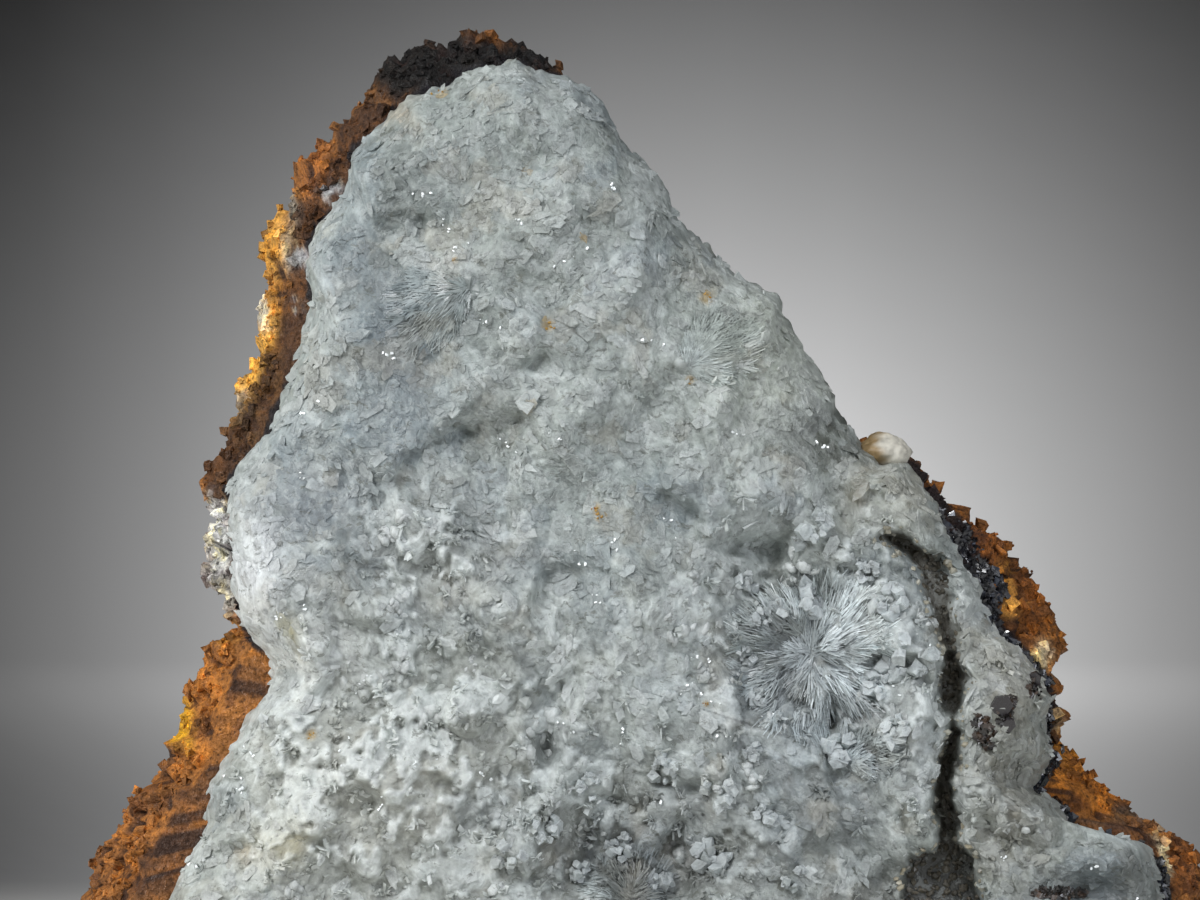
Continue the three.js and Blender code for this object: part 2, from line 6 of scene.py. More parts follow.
import bpy
import numpy as np
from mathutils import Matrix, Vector


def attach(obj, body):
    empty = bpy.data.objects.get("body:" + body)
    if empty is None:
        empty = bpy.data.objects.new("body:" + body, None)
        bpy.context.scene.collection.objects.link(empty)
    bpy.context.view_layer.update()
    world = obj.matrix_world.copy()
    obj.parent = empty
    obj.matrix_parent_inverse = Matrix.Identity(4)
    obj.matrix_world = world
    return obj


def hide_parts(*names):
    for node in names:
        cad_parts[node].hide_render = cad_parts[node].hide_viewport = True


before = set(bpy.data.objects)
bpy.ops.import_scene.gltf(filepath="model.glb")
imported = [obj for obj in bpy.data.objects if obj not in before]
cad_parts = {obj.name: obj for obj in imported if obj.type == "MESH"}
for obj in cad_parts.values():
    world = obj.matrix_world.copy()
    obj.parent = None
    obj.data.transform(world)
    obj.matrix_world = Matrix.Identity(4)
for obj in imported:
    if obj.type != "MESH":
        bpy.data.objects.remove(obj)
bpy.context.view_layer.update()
print("frame:", len(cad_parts), "nodes")

mm = 0.001
random = np.random.default_rng(20)

# where the middle of the base lies, measured from the outlines' centre line
specimen = {
    "middleX": 2.45,
    "middleY": 6.65,
    "height": 54.0,
}

# outlines seen from the front, clockwise from the top: x, z
rockOutline = [
    (-2.8, 52.7), (-1.3, 51.0), (0.3, 49.0), (1.5, 47.0), (2.8, 45.3), (4.5, 43.0), (7.3, 41.0), (8.5, 39.3),
    (10.0, 36.5), (11.3, 34.5), (12.5, 33.5), (14.5, 33.3), (15.9, 32.5), (17.0, 31.3), (18.0, 30.4),
    (19.3, 29.4), (20.3, 28.0), (21.4, 26.6), (22.3, 24.9), (23.3, 23.3), (23.1, 22.0), (22.8, 21.0),
    (23.4, 20.1), (23.0, 19.3), (23.4, 18.4), (24.9, 17.0), (26.3, 15.9), (27.5, 14.5), (29.4, 13.8),
    (30.8, 11.8), (32.0, 8.0), (32.3, 3.5), (31.7, -1.5), (-27.3, -1.5), (-27.6, 2.8), (-27.4, 5.5),
    (-26.7, 8.5), (-25.4, 11.3), (-24.4, 13.6), (-23.6, 14.9), (-22.7, 16.4), (-21.6, 17.9), (-21.5, 19.3),
    (-21.2, 20.9), (-20.3, 22.6), (-19.3, 23.8), (-18.4, 24.8), (-18.9, 26.4), (-19.6, 28.0), (-19.6, 29.8),
    (-19.7, 31.8), (-19.3, 33.8), (-18.7, 35.8), (-18.2, 37.4), (-17.6, 38.5), (-17.5, 39.8), (-17.2, 41.4),
    (-16.9, 42.9), (-16.3, 44.4), (-15.5, 46.0), (-15.1, 47.5), (-14.1, 48.9), (-12.8, 50.4), (-11.6, 51.8),
    (-10.5, 52.6), (-9.3, 53.4), (-7.5, 53.5), (-5.6, 54.0), (-4.3, 53.7),
]
crustOutline = [
    (-5.0, 52.9), (-3.9, 53.0), (-2.8, 52.4), (-1.4, 52.2), (-0.2, 51.4), (0.6, 50.1), (1.3, 48.9), (2.4, 47.9),
    (3.4, 46.5), (3.8, 45.3), (5.0, 44.1), (6.1, 43.1), (7.5, 42.0), (9.0, 41.2), (9.2, 40.5), (10.0, 39.1),
    (10.8, 37.8), (11.8, 36.3), (12.0, 35.3), (12.8, 34.4), (13.1, 33.8), (14.3, 32.9), (15.4, 32.9),
    (16.0, 32.1), (16.9, 30.8), (17.3, 30.1), (18.0, 28.6), (19.2, 26.5), (19.7, 24.8), (21.1, 23.4),
    (22.0, 22.3), (22.8, 20.9), (22.5, 20.0), (22.7, 18.3), (22.0, 16.3), (23.0, 15.8), (23.9, 14.6),
    (25.3, 13.9), (27.5, 13.6), (28.1, 12.3), (28.4, 10.8), (29.3, 8.0), (29.8, 4.5), (29.5, -1.5),
    (-24.4, -1.5), (-24.6, 3.0), (-24.1, 6.0), (-23.0, 8.8), (-21.6, 11.1), (-20.8, 12.9), (-19.9, 14.5),
    (-19.7, 16.3), (-18.8, 18.1), (-17.7, 20.1), (-16.7, 21.5), (-16.6, 22.7), (-17.4, 23.8), (-18.2, 25.1),
    (-18.5, 26.8), (-18.6, 28.5), (-18.8, 30.5), (-18.6, 32.0), (-17.9, 33.1), (-16.8, 34.2), (-16.2, 35.8),
    (-15.5, 37.5), (-15.0, 39.5), (-14.6, 41.3), (-14.8, 42.9), (-14.4, 44.3), (-13.4, 45.8), (-12.7, 47.0),
    (-12.5, 48.4), (-11.4, 49.6), (-10.4, 50.6), (-9.4, 51.4), (-8.0, 51.8), (-6.5, 52.6),
]


def toLinear(srgb):  # sRGB as linear light: v / 12.92 below 0.04045, else ((v + 0.055) / 1.055)^2.4
    return np.where(srgb <= 0.04045, srgb / 12.92, ((srgb + 0.055) / 1.055) ** 2.4)


def linearColour(code):  # an sRGB hex value as linear red, green and blue
    return toLinear(np.array([int(code[i:i + 2], 16) / 255 for i in (1, 3, 5)]))


def mix(a, b, t):  # a at t = 0, b at t = 1, straight between them
    return a + (b - a) * t


def ease(t):  # 3t^2 - 2t^3
    return t * t * (3 - 2 * t)


def easeBetween(low, high, value):  # 0 up to low, 1 from high on, eased between them
    return ease(np.clip((value - low) / (high - low), 0, 1))


def cornerValue(i, j, k):  # a repeatable number from 0 to 1 for each whole-numbered corner
    value = np.sin(i * 127.1 + j * 311.7 + k * 74.7) * 43758.5453
    return value - np.floor(value)


def lumpNoise(x, y, z, size, offset=0.0):
    # eight corner values blended smoothly inside each cell of `size` millimetres, from -1 to 1
    px, py, pz = x / size + offset, y / size, z / size
    i, j, k = np.floor(px), np.floor(py), np.floor(pz)
    u, v, w = ease(px - i), ease(py - j), ease(pz - k)

    def edge(dj, dk):
        return mix(cornerValue(i, j + dj, k + dk), cornerValue(i + 1, j + dj, k + dk), u)

    return 2 * mix(mix(edge(0, 0), edge(1, 0), v), mix(edge(0, 1), edge(1, 1), v), w) - 1


def facetHeight(x, z, size, steepest, softness=0.05, seed=0):
    # each cell has a middle and a tilted plane through it; planes are weighed by exp(-distance^2 / softness)
    column, row = np.floor(x / size), np.floor(z / size)
    height = np.zeros(np.shape(x))
    weights = np.full(np.shape(x), 1e-9)
    for stepX in (-1, 0, 1):
        for stepZ in (-1, 0, 1):
            i, j = column + stepX, row + stepZ
            dx = x - size * (i + cornerValue(i, j, 1 + seed))
            dz = z - size * (j + cornerValue(i, j, 2 + seed))
            weight = np.exp(-(dx * dx + dz * dz) / (size * size * softness))
            slopeX = steepest * (2 * cornerValue(i, j, 3 + seed) - 1)
            slopeZ = steepest * (2 * cornerValue(i, j, 4 + seed) - 1)
            height += weight * (slopeX * dx + slopeZ * dz)
            weights += weight
    return height / weights


def denseOutline(outline, perSegment=24):
    # a closed centripetal Catmull-Rom curve: knots are spaced by the square root of the chord
    points = np.array(outline, float)
    p0, p1 = np.roll(points, 1, axis=0), points
    p2, p3 = np.roll(points, -1, axis=0), np.roll(points, -2, axis=0)
    d0, d1, d2 = (np.sqrt(np.linalg.norm(b - a, axis=1))[:, None] for a, b in ((p0, p1), (p1, p2), (p2, p3)))
    start = ((p1 - p0) / d0 - (p2 - p0) / (d0 + d1) + (p2 - p1) / d1) * d1
    end = ((p2 - p1) / d1 - (p3 - p1) / (d1 + d2) + (p3 - p2) / d2) * d1
    t = (np.arange(perSegment) / perSegment)[None, :, None]
    p1, p2, start, end = p1[:, None], p2[:, None], start[:, None], end[:, None]
    curve = p1 + start * t + (3 * (p2 - p1) - 2 * start - end) * t**2 + (2 * (p1 - p2) + start + end) * t**3
    return curve.reshape(-1, 2)


def alongOutline(dense, t):  # the point at a share t of the curve's length
    closed = np.vstack([dense, dense[:1]])
    run = np.concatenate([[0], np.cumsum(np.linalg.norm(np.diff(closed, axis=0), axis=1))])
    return np.stack([np.interp(t * run[-1], run, closed[:, c]) for c in (0, 1)], axis=-1)


def reachOf(outline, centre):
    # how far an outline lies from its centre, by direction
    dense = denseOutline(outline)
    dx, dz = dense[:, 0] - centre[0], dense[:, 1] - centre[1]
    order = np.argsort(np.arctan2(dz, dx))
    angles, radii = np.arctan2(dz, dx)[order], np.hypot(dx, dz)[order]
    return {"dense": dense, "centre": np.array(centre), "angles": angles, "radii": radii}


rockReach = reachOf(rockOutline, (0.5, 19.0))
crustReach = reachOf(crustOutline, (0.5, 22.0))


def radiusAt(reach, x, z):  # the outline's radius in the direction of a place, read from the list by angle
    angle = np.arctan2(z - reach["centre"][1], x - reach["centre"][0])
    return np.interp(angle, reach["angles"], reach["radii"], period=2 * math.pi)


def shareAt(reach, x, z):  # 0 at the centre, 1 on the outline
    return np.hypot(x - reach["centre"][0], z - reach["centre"][1]) / radiusAt(reach, x, z)


def beyond(reach, x, z):  # millimetres outside the outline
    return (shareAt(reach, x, z) - 1) * radiusAt(reach, x, z)


def makePiece(name, points, faces, material, tint, smooth=True):
    # points in millimetres from the centre line, faces as rows of three point numbers, and a tint for each point
    # or for each crystal, whose points follow each other
    placed = (np.asarray(points, float) - (specimen["middleX"], specimen["middleY"], 0)) * mm
    placed[:, 2] = np.maximum(placed[:, 2], 0)
    mesh = bpy.data.meshes.new(name)
    mesh.vertices.add(len(placed))
    mesh.vertices.foreach_set("co", placed.astype(np.float32).ravel())
    faces = np.ascontiguousarray(faces, dtype=np.int32)
    mesh.loops.add(faces.size)
    mesh.loops.foreach_set("vertex_index", faces.ravel())
    mesh.polygons.add(len(faces))
    mesh.polygons.foreach_set("loop_start", np.arange(0, faces.size, 3, dtype=np.int32))
    mesh.polygons.foreach_set("use_smooth", np.full(len(faces), smooth))
    mesh.update(calc_edges=True)
    colours = np.ones((len(placed), 4), np.float32)
    colours[:, :3] = np.repeat(tint, len(placed) // len(tint), axis=0)
    layer = mesh.attributes.new("tint", "FLOAT_COLOR", "POINT")
    layer.data.foreach_set("color", colours.ravel())
    mesh.materials.append(material)
    piece = bpy.data.objects.new(name, mesh)
    bpy.context.scene.collection.objects.link(piece)
    print(f"{name}: {len(faces)} triangles")
    return piece


def stands(piece, node):  # the piece stands for a node of the model: it hangs from the root, and the node's own part is hidden
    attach(piece, "root")
    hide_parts(node)


def discFaces(rings, starts, flipped):
    # ring k has 6k points; each of its six sides is joined to the side above it by a zigzag of triangles
    rows = []
    for k in range(rings):
        side = np.repeat(np.arange(6), k + 1)
        j = np.tile(np.arange(k + 1), 6)
        inner, outer = max(1, 6 * k), 6 * (k + 1)
        a = starts[k] + (side * k + j) % inner
        b = starts[k + 1] + side * (k + 1) + j
        c = starts[k + 1] + (side * (k + 1) + j + 1) % outer
        rows.append(np.stack([a, b, c], axis=1))
        keep = j < k
        d = starts[k] + (side * k + j + 1) % inner
        rows.append(np.stack([a, c, d], axis=1)[keep])
    faces = np.concatenate(rows)
    return faces[:, ::-1] if flipped else faces


def discPoints(rings):  # ring number and share of the outline's length for every point of a disc
    counts = [max(1, 6 * k) for k in range(rings + 1)]
    ring = np.repeat(np.arange(rings + 1), counts)
    turn = np.concatenate([np.arange(n) / n for n in counts])
    starts = np.concatenate([[0], np.cumsum(counts)[:-1]])
    return ring, turn, starts


def bandFaces(firstStart, secondStart, sides):  # quads between two rings, each cut in two
    i = np.arange(sides)
    n = (i + 1) % sides
    return np.concatenate([
        np.stack([firstStart + i, secondStart + i, secondStart + n], axis=1),
        np.stack([firstStart + i, secondStart + n, firstStart + n], axis=1),
    ])


def halvingFaces(first, second, sides):  # from a ring of 2 * sides points to a ring of `sides` points
    i = np.arange(sides)
    n = (i + 1) % sides
    a, b, c = first + 2 * i, first + 2 * i + 1, first + 2 * n
    return np.concatenate([np.stack([a, second + i, b], axis=1), np.stack([b, second + i, second + n], axis=1),
                           np.stack([b, second + n, c], axis=1)])


def cushion(dense, sections, frontDisc, backDisc):
    # sections are (share of the outline, place from front to back, number of sides)
    # the first and the last are closed by a disc, or by a fan from their middle
    # gives share, place and the outline's corner for each point, with all faces
    shares, alongs, turns, faces = [], [], [], []
    total = 0

    def addPoints(share, along, turn):
        nonlocal total
        shares.append(share)
        alongs.append(np.full(len(turn), along))
        turns.append(turn)
        total += len(turn)

    def addCap(share, along, sides, disc, flipped):
        ring, turn, starts = discPoints(sides // 6) if disc else (np.arange(1), np.zeros(1), None)
        if disc:
            faces.append(discFaces(sides // 6, starts + total, flipped))
        addPoints(share * ring / (sides // 6), along, turn)

    addCap(*sections[0], frontDisc, False)
    if not frontDisc:
        addPoints(np.full(sections[0][2], sections[0][0]), sections[0][1], np.arange(sections[0][2]) / sections[0][2])
        i = np.arange(sections[0][2])
        faces.append(np.stack([np.zeros_like(i), 1 + i, 1 + (i + 1) % len(i)], axis=1))
    before = sections[0][2]
    for share, along, sides in sections[1:]:
        join = bandFaces if sides == before else halvingFaces
        faces.append(join(total - before, total, sides))
        addPoints(np.full(sides, share), along, np.arange(sides) / sides)
        before = sides
    rim = total - before
    if backDisc:
        # the disc's outer ring lies just inside the last section
        addCap(sections[-1][0] * 0.995, sections[-1][1], before, True, True)
        faces.append(bandFaces(rim, total - before, before))
    else:
        i = np.arange(before)
        faces.append(np.stack([rim + i, np.full(before, total), rim + (i + 1) % before], axis=1))
        addPoints(np.zeros(1), sections[-1][1], np.zeros(1))
    share, along, turn = (np.concatenate(part) for part in (shares, alongs, turns))
    return share, along, alongOutline(dense, turn), np.concatenate(faces)


def feed(tree, node, inputs):
    # gives each input a plain value, or links it to the socket that feeds it; a list fills the inputs in their order,
    # which for a map from one range to another is: value, from low, from high, to low, to high
    for key, value in enumerate(inputs) if isinstance(inputs, list) else inputs.items():
        if isinstance(value, bpy.types.NodeSocket):
            tree.links.new(value, node.inputs[key])
        else:
            node.inputs[key].default_value = value


def addNode(tree, kind, settings, inputs, output=0):  # a node with its own settings and its inputs; gives one output
    node = tree.nodes.new("ShaderNode" + kind)
    for key, value in settings.items():
        setattr(node, key, value)
    feed(tree, node, inputs)
    return node.outputs[output]


def newMaterial(name):  # a material with its shader, the place on the piece in metres and the piece's own tint
    material = bpy.data.materials.new(name)
    material.use_nodes = True
    tree = material.node_tree
    place = addNode(tree, "TexCoord", {}, {}, "Object")
    tint = addNode(tree, "Attribute", {"attribute_name": "tint"}, {}, "Color")
    return material, tree, tree.nodes["Principled BSDF"], place, tint


def colour4(code):  # linear red, green and blue with a full fourth channel
    return (*linearColour(code), 1.0)


def perMm(size):  # the scale of a pattern whose marks are `size` millimetres wide: 1 / metres
    return 1 / (size * mm)


def shaken(tree, place, size, byMm):  # place + colour noise * byMm, so it moves about by up to half of byMm
    noise = addNode(tree, "TexNoise", {},
                    {"Vector": place, "Scale": perMm(size), "Detail": 1.0, "Roughness": 0.5}, "Color")
    drift = addNode(tree, "VectorMath", {"operation": "SCALE"}, {0: noise, "Scale": byMm * mm})
    return addNode(tree, "VectorMath", {"operation": "ADD"}, {0: place, 1: drift})


# the two ways that colours are mixed, and the numbers of the inputs and the output that carry colours
multiply = {"data_type": "RGBA", "blend_type": "MULTIPLY"}
over = {"data_type": "RGBA", "blend_type": "MIX"}
factor, under, above, mixed = 0, 6, 7, 2

# Angastonite: milky phosphate crystals grown together into ragged translucent masses.
# The tint attribute carries the white clouds, tan stains and blue-grey patches of half a millimetre and more. The
# material adds bundles of thin blades that each run their own way, fine mottling and short olive gaps.
# Light goes a short way in, so edges look soft.
phosphate = {"ior": 1.57, "radius": (1.0, 1.0, 0.95)}
crustLook = {
    "shakeMm": (0.5, 0.55),
    "bundleMm": 1.5,
    "bladeMm": 0.26,
    "bladeStretch": (0.22, 1.0, 1.0),
    "mottleMm": 0.8,
    "whiteColour": "#d3d9d6",
    "gapMm": 0.85,
    "gapDegrees": 48,  # the gaps climb to the right
    "gapStretch": (1.0, 1.0, 1.9),
    "gapColour": "#5f6156",
    "bumpMm": 0.34,
    "bumpDepth": 0.17,
}


def angastoniteCrust():
    # tint * mottling * blades, with pale patches and gap marks laid over it
    material, tree, shader, place, tint = newMaterial("angastonite milky crust")
    bent = shaken(tree, place, *crustLook["shakeMm"])
    # every bundle of blades turns its pattern about the depth axis by its own angle
    bundle = addNode(tree, "TexVoronoi", {}, {"Vector": bent, "Scale": perMm(crustLook["bundleMm"])}, "Color")
    angle = addNode(tree, "MapRange", {}, [bundle, 0.0, 1.0, 0.0, math.pi])
    swung = addNode(tree, "VectorRotate", {"rotation_type": "Y_AXIS"}, {"Vector": place, "Angle": angle})
    long = addNode(tree, "Mapping", {}, {"Vector": swung, "Scale": crustLook["bladeStretch"]})
    blades = addNode(tree, "TexNoise", {},
                     {"Vector": long, "Scale": perMm(crustLook["bladeMm"]), "Detail": 2.0, "Roughness": 0.6})
    mottle = addNode(tree, "TexNoise", {},
                     {"Vector": bent, "Scale": perMm(crustLook["mottleMm"]), "Detail": 4.0, "Roughness": 0.72})
    tone = addNode(tree, "Math", {"operation": "MULTIPLY"}, {
        0: addNode(tree, "MapRange", {}, [mottle, 0.32, 0.68, 0.88, 1.1]),
        1: addNode(tree, "MapRange", {}, [blades, 0.3, 0.7, 0.82, 1.13])})
    colour = addNode(tree, "Mix", multiply, {factor: 1.0, under: tint, above: tone}, mixed)
    pale = addNode(tree, "MapRange", {}, [mottle, 0.53, 0.57, 0, 0.18])
    colour = addNode(tree, "Mix", over, {factor: pale, under: colour, above: colour4(crustLook["whiteColour"])}, mixed)
    turn = (0, math.radians(crustLook["gapDegrees"]), 0)
    slanted = addNode(tree, "Mapping", {}, {"Vector": bent, "Rotation": turn, "Scale": crustLook["gapStretch"]})
    marks = addNode(tree, "TexNoise", {},
                    {"Vector": slanted, "Scale": perMm(crustLook["gapMm"]), "Detail": 4.0, "Roughness": 0.7})
    gap = addNode(tree, "MapRange", {}, [marks, 0.36, 0.4, 0.55, 0])
    colour = addNode(tree, "Mix", over, {factor: gap, under: colour, above: colour4(crustLook["gapColour"])}, mixed)
    grit = addNode(tree, "TexNoise", {},
                   {"Vector": place, "Scale": perMm(crustLook["bumpMm"]), "Detail": 3.0, "Roughness": 0.75})
    feed(tree, shader, {
        "Base Color": colour,
        "Roughness": addNode(tree, "MapRange", {}, [blades, 0.35, 0.65, 0.38, 0.7]),
        "Normal": addNode(tree, "Bump", {}, {"Strength": 0.7, "Distance": crustLook["bumpDepth"] * mm, "Height": grit}),
        "IOR": phosphate["ior"],
        "Subsurface Weight": 0.4,
        "Subsurface Radius": phosphate["radius"],
        "Subsurface Scale": 0.7 * mm,
    })
    return material


# Single angastonite crystals: the same mineral, cleaner and glassier.
def angastoniteCrystals():  # tint * cloudy noise
    material, tree, shader, place, tint = newMaterial("angastonite glassy crystals")
    cloud = addNode(tree, "TexNoise", {}, {"Vector": place, "Scale": perMm(0.5), "Detail": 3.0, "Roughness": 0.6})
    tone = addNode(tree, "MapRange", {}, [cloud, 0.35, 0.65, 0.82, 1.12])
    feed(tree, shader, {
        "Base Color": addNode(tree, "Mix", multiply, {factor: 1.0, under: tint, above: tone}, mixed),
        "Roughness": addNode(tree, "MapRange", {}, [cloud, 0.35, 0.65, 0.3, 0.62]),
        "IOR": phosphate["ior"],
        "Subsurface Weight": 0.12,
        "Subsurface Radius": phosphate["radius"],
        "Subsurface Scale": 0.5 * mm,
    })
    return material


# Clean cleavage faces of the same crystals: clear and smooth as glass, so they glint.
def cleavageFaces():  # the plain tint, with a roughness that varies from 0.04 to 0.12
    material, tree, shader, place, tint = newMaterial("angastonite cleavage faces")
    polish = addNode(tree, "TexNoise", {}, {"Vector": place, "Scale": perMm(0.2), "Detail": 4.0, "Roughness": 0.6})
    rough = addNode(tree, "MapRange", {}, [polish, 0.35, 0.65, 0.04, 0.12])
    feed(tree, shader, {"Base Color": tint, "Roughness": rough, "IOR": phosphate["ior"]})
    return material


# Minyulite: silky blue-grey needles, glassy along their length.
def minyuliteNeedles():  # tint * silky noise
    material, tree, shader, place, tint = newMaterial("minyulite silky needles")
    shade = addNode(tree, "TexNoise", {}, {"Vector": place, "Scale": perMm(0.45), "Detail": 3.0, "Roughness": 0.6})
    tone = addNode(tree, "MapRange", {}, [shade, 0.35, 0.65, 0.78, 1.14])
    feed(tree, shader, {
        "Base Color": addNode(tree, "Mix", multiply, {factor: 1.0, under: tint, above: tone}, mixed),
        "Roughness": addNode(tree, "MapRange", {}, [shade, 0.35, 0.65, 0.16, 0.42]),
        "IOR": 1.53,
    })
    return material


# Limonite: earthy iron hydroxide, orange to dark brown, crowded with pits a few tenths of a millimetre wide,
# yellow ochre dust between them and glints from tiny goethite crystals.
rockLook = {
    "shakeMm": (0.6, 0.7),
    "grainMm": 0.3,
    "pitMm": 0.3,
    "patchMm": 1.5,
    "pitColour": "#24130a",
    "ochreGain": (1.75, 1.6, 1.05, 1.0),
    "dullGain": (0.5, 0.45, 0.5, 1.0),
    "bumpDepth": 0.3,
}


def limoniteRock():
    # tint * grain, times a gain in ochre and in dull patches, darker in the pits
    material, tree, shader, place, tint = newMaterial("limonite porous rock")
    bent = shaken(tree, place, *rockLook["shakeMm"])
    grain = addNode(tree, "TexNoise", {},
                    {"Vector": place, "Scale": perMm(rockLook["grainMm"]), "Detail": 3.0, "Roughness": 0.75})
    patch = addNode(tree, "TexNoise", {},
                    {"Vector": bent, "Scale": perMm(rockLook["patchMm"]), "Detail": 3.0, "Roughness": 0.6})
    tone = addNode(tree, "MapRange", {}, [grain, 0.3, 0.7, 0.4, 1.6])
    colour = addNode(tree, "Mix", multiply, {factor: 1.0, under: tint, above: tone}, mixed)
    for gain, span in (("ochreGain", (0.52, 0.64, 0, 0.8)), ("dullGain", (0.36, 0.48, 0.8, 0))):
        changed = addNode(tree, "Mix", multiply, {factor: 1.0, under: colour, above: rockLook[gain]}, mixed)
        share = addNode(tree, "MapRange", {}, [patch, *span])
        colour = addNode(tree, "Mix", over, {factor: share, under: colour, above: changed}, mixed)
    cells = addNode(tree, "TexVoronoi", {}, {"Vector": bent, "Scale": perMm(rockLook["pitMm"])}, "Distance")
    uneven = addNode(tree, "MapRange", {}, [grain, 0.3, 0.7, -0.2, 0.28])
    pits = addNode(tree, "Math", {"operation": "ADD"}, {0: cells, 1: uneven})
    mask = addNode(tree, "MapRange", {}, [pits, 0.12, 0.34, 1.0, 0.0])
    share = addNode(tree, "Math", {"operation": "MULTIPLY"}, {0: mask, 1: 0.6})
    colour = addNode(tree, "Mix", over, {factor: share, under: colour, above: colour4(rockLook["pitColour"])}, mixed)
    feed(tree, shader, {
        "Base Color": colour,
        "Roughness": addNode(tree, "MapRange", {}, [grain, 0.4, 0.62, 0.9, 0.3]),
        "Normal": addNode(tree, "Bump", {}, {"Strength": 1.0, "Distance": rockLook["bumpDepth"] * mm, "Height": grain}),
        "IOR": 1.6,
        "Specular IOR Level": 0.3,
    })
    return material


# Manganese oxide: black glassy grains with brown edges.
def oxideGrains():  # the plain tint, with a roughness that varies from 0.1 to 0.45
    material, tree, shader, place, tint = newMaterial("manganese oxide grains")
    polish = addNode(tree, "TexNoise", {}, {"Vector": place, "Scale": perMm(0.3), "Detail": 4.0, "Roughness": 0.6})
    rough = addNode(tree, "MapRange", {}, [polish, 0.35, 0.65, 0.1, 0.45])
    feed(tree, shader, {"Base Color": tint, "Roughness": rough, "IOR": 1.9})
    return material


crustMaterial = angastoniteCrust()
crystalMaterial = angastoniteCrystals()
sparkleMaterial = cleavageFaces()
needleMaterial = minyuliteNeedles()
rockMaterial = limoniteRock()
darkMaterial = oxideGrains()


face = {
    "front": -5.2,
    "back": 2.6,
    "swells": [  # centre x and z, reach in x and z, how far it stands forward
        (-16.9, 28.0, 3.0, 5.2, 0.6), (-13.8, 42.8, 1.4, 2.6, 0.8), (-10.0, 42.0, 1.8, 5.5, -1.0),
        (-13.0, 32.5, 2.4, 3.0, -0.6), (0.0, 40.0, 6.5, 9.5, 1.5), (-13.5, 18.0, 5.5, 4.5, 1.1),
        (-5.5, 34.0, 3.0, 1.3, -0.7), (1.0, 26.5, 4.5, 4.0, 1.2), (12.0, 23.0, 4.6, 5.5, -1.9),
        (2.5, 14.0, 6.0, 3.4, -1.9), (8.3, 28.3, 1.6, 1.2, -1.2), (11.9, 31.2, 1.2, 2.0, -1.5),
        (15.9, 20.5, 1.3, 6.0, 1.3), (20.3, 20.0, 2.0, 5.0, 0.9), (15.3, 31.0, 1.8, 1.6, 0.9),
        (14.5, 11.5, 3.0, 2.2, -2.0), (25.3, 13.0, 2.2, 0.9, 0.9), (24.6, 11.3, 2.2, 0.9, -1.4),
        (7.0, 42.0, 3.4, 4.0, -1.3), (11.5, 36.0, 2.6, 3.0, -1.4),
    ],
    "lumps": [  # centre x and z, radius
        (18.8, 16.1, 1.3), (20.6, 15.2, 1.2), (20.4, 23.6, 1.0), (22.2, 14.5, 1.0), (14.4, 32.4, 1.2),
        (-11.6, 12.9, 1.1), (-8.4, 14.8, 1.2), (-14.4, 15.3, 1.3), (-6.6, 20.4, 1.3), (-14.4, 24.2, 1.2),
        (-5.3, 25.8, 1.2), (14.9, 24.0, 0.9),
    ],
    "pits": [  # centre x and z, radius in x and z, depth
        (-2.7, 18.7, 0.7, 1.1, 1.6), (4.6, 16.6, 0.9, 0.6, 1.5), (8.6, 26.9, 0.8, 0.5, 1.2),
        (12.3, 30.2, 0.5, 1.2, 1.2), (-0.6, 13.0, 0.5, 1.0, 1.4), (-6.9, 34.4, 0.7, 0.4, 0.9),
        (-4.0, 34.9, 0.6, 0.4, 0.8), (-9.0, 44.8, 0.3, 0.8, 0.7), (-8.0, 16.8, 0.6, 0.4, 0.8),
        (11.6, 20.0, 0.4, 0.9, 1.1), (6.8, 28.6, 1.6, 0.5, 1.0), (0.4, 16.0, 0.5, 0.4, 0.9),
    ],
    "cleft": [  # middle x and z, half width
        (14.3, 29.2, 0.3), (15.4, 28.7, 0.45), (16.4, 27.7, 0.65), (16.9, 26.5, 0.65), (17.4, 24.7, 0.55),
        (17.7, 22.2, 0.42), (17.7, 19.5, 0.32), (17.4, 17.0, 0.34), (17.3, 15.0, 0.45), (17.5, 13.2, 0.8),
        (17.2, 11.4, 2.0), (18.6, 9.9, 1.0),
    ],
    "cleftFloor": -2.6,
}
calmPatches = [  # smooth milky stretches with few loose plates: centre x and z, reach in x and z
    (-13.0, 42.0, 3.5, 7.0), (-16.5, 29.5, 2.5, 4.5), (-10.5, 37.0, 3.5, 4.0), (-8.5, 48.5, 4.5, 3.0),
    (0.5, 31.0, 4.0, 2.5), (10.0, 34.0, 2.0, 1.5), (25.5, 12.8, 2.5, 1.0),
]
looseBeds = [  # beds of loose, steep, whiter plates: centre x and z, reach in x and z
    (-9.0, 18.0, 9.0, 8.0), (11.0, 22.0, 6.5, 7.0), (2.0, 14.0, 9.0, 5.0), (-8.0, 27.0, 3.5, 4.0),
    (0.0, 5.0, 25.0, 6.0), (20.0, 15.5, 3.0, 3.0),
]


def patchField(x, z, patches):  # the largest of exp(-(dx/reach)^2 - (dz/reach)^2)
    field = np.zeros(np.shape(x))
    for px, pz, rx, rz in patches:
        field = np.maximum(field, np.exp(-(((x - px) / rx) ** 2) - ((z - pz) / rz) ** 2))
    return field


def looseness(x, z):  # 0.27 + 0.8 * loose beds - 0.45 * calm patches, from 0.05 to 1
    return np.clip(0.27 + 0.8 * patchField(x, z, looseBeds) - 0.45 * patchField(x, z, calmPatches), 0.05, 1)


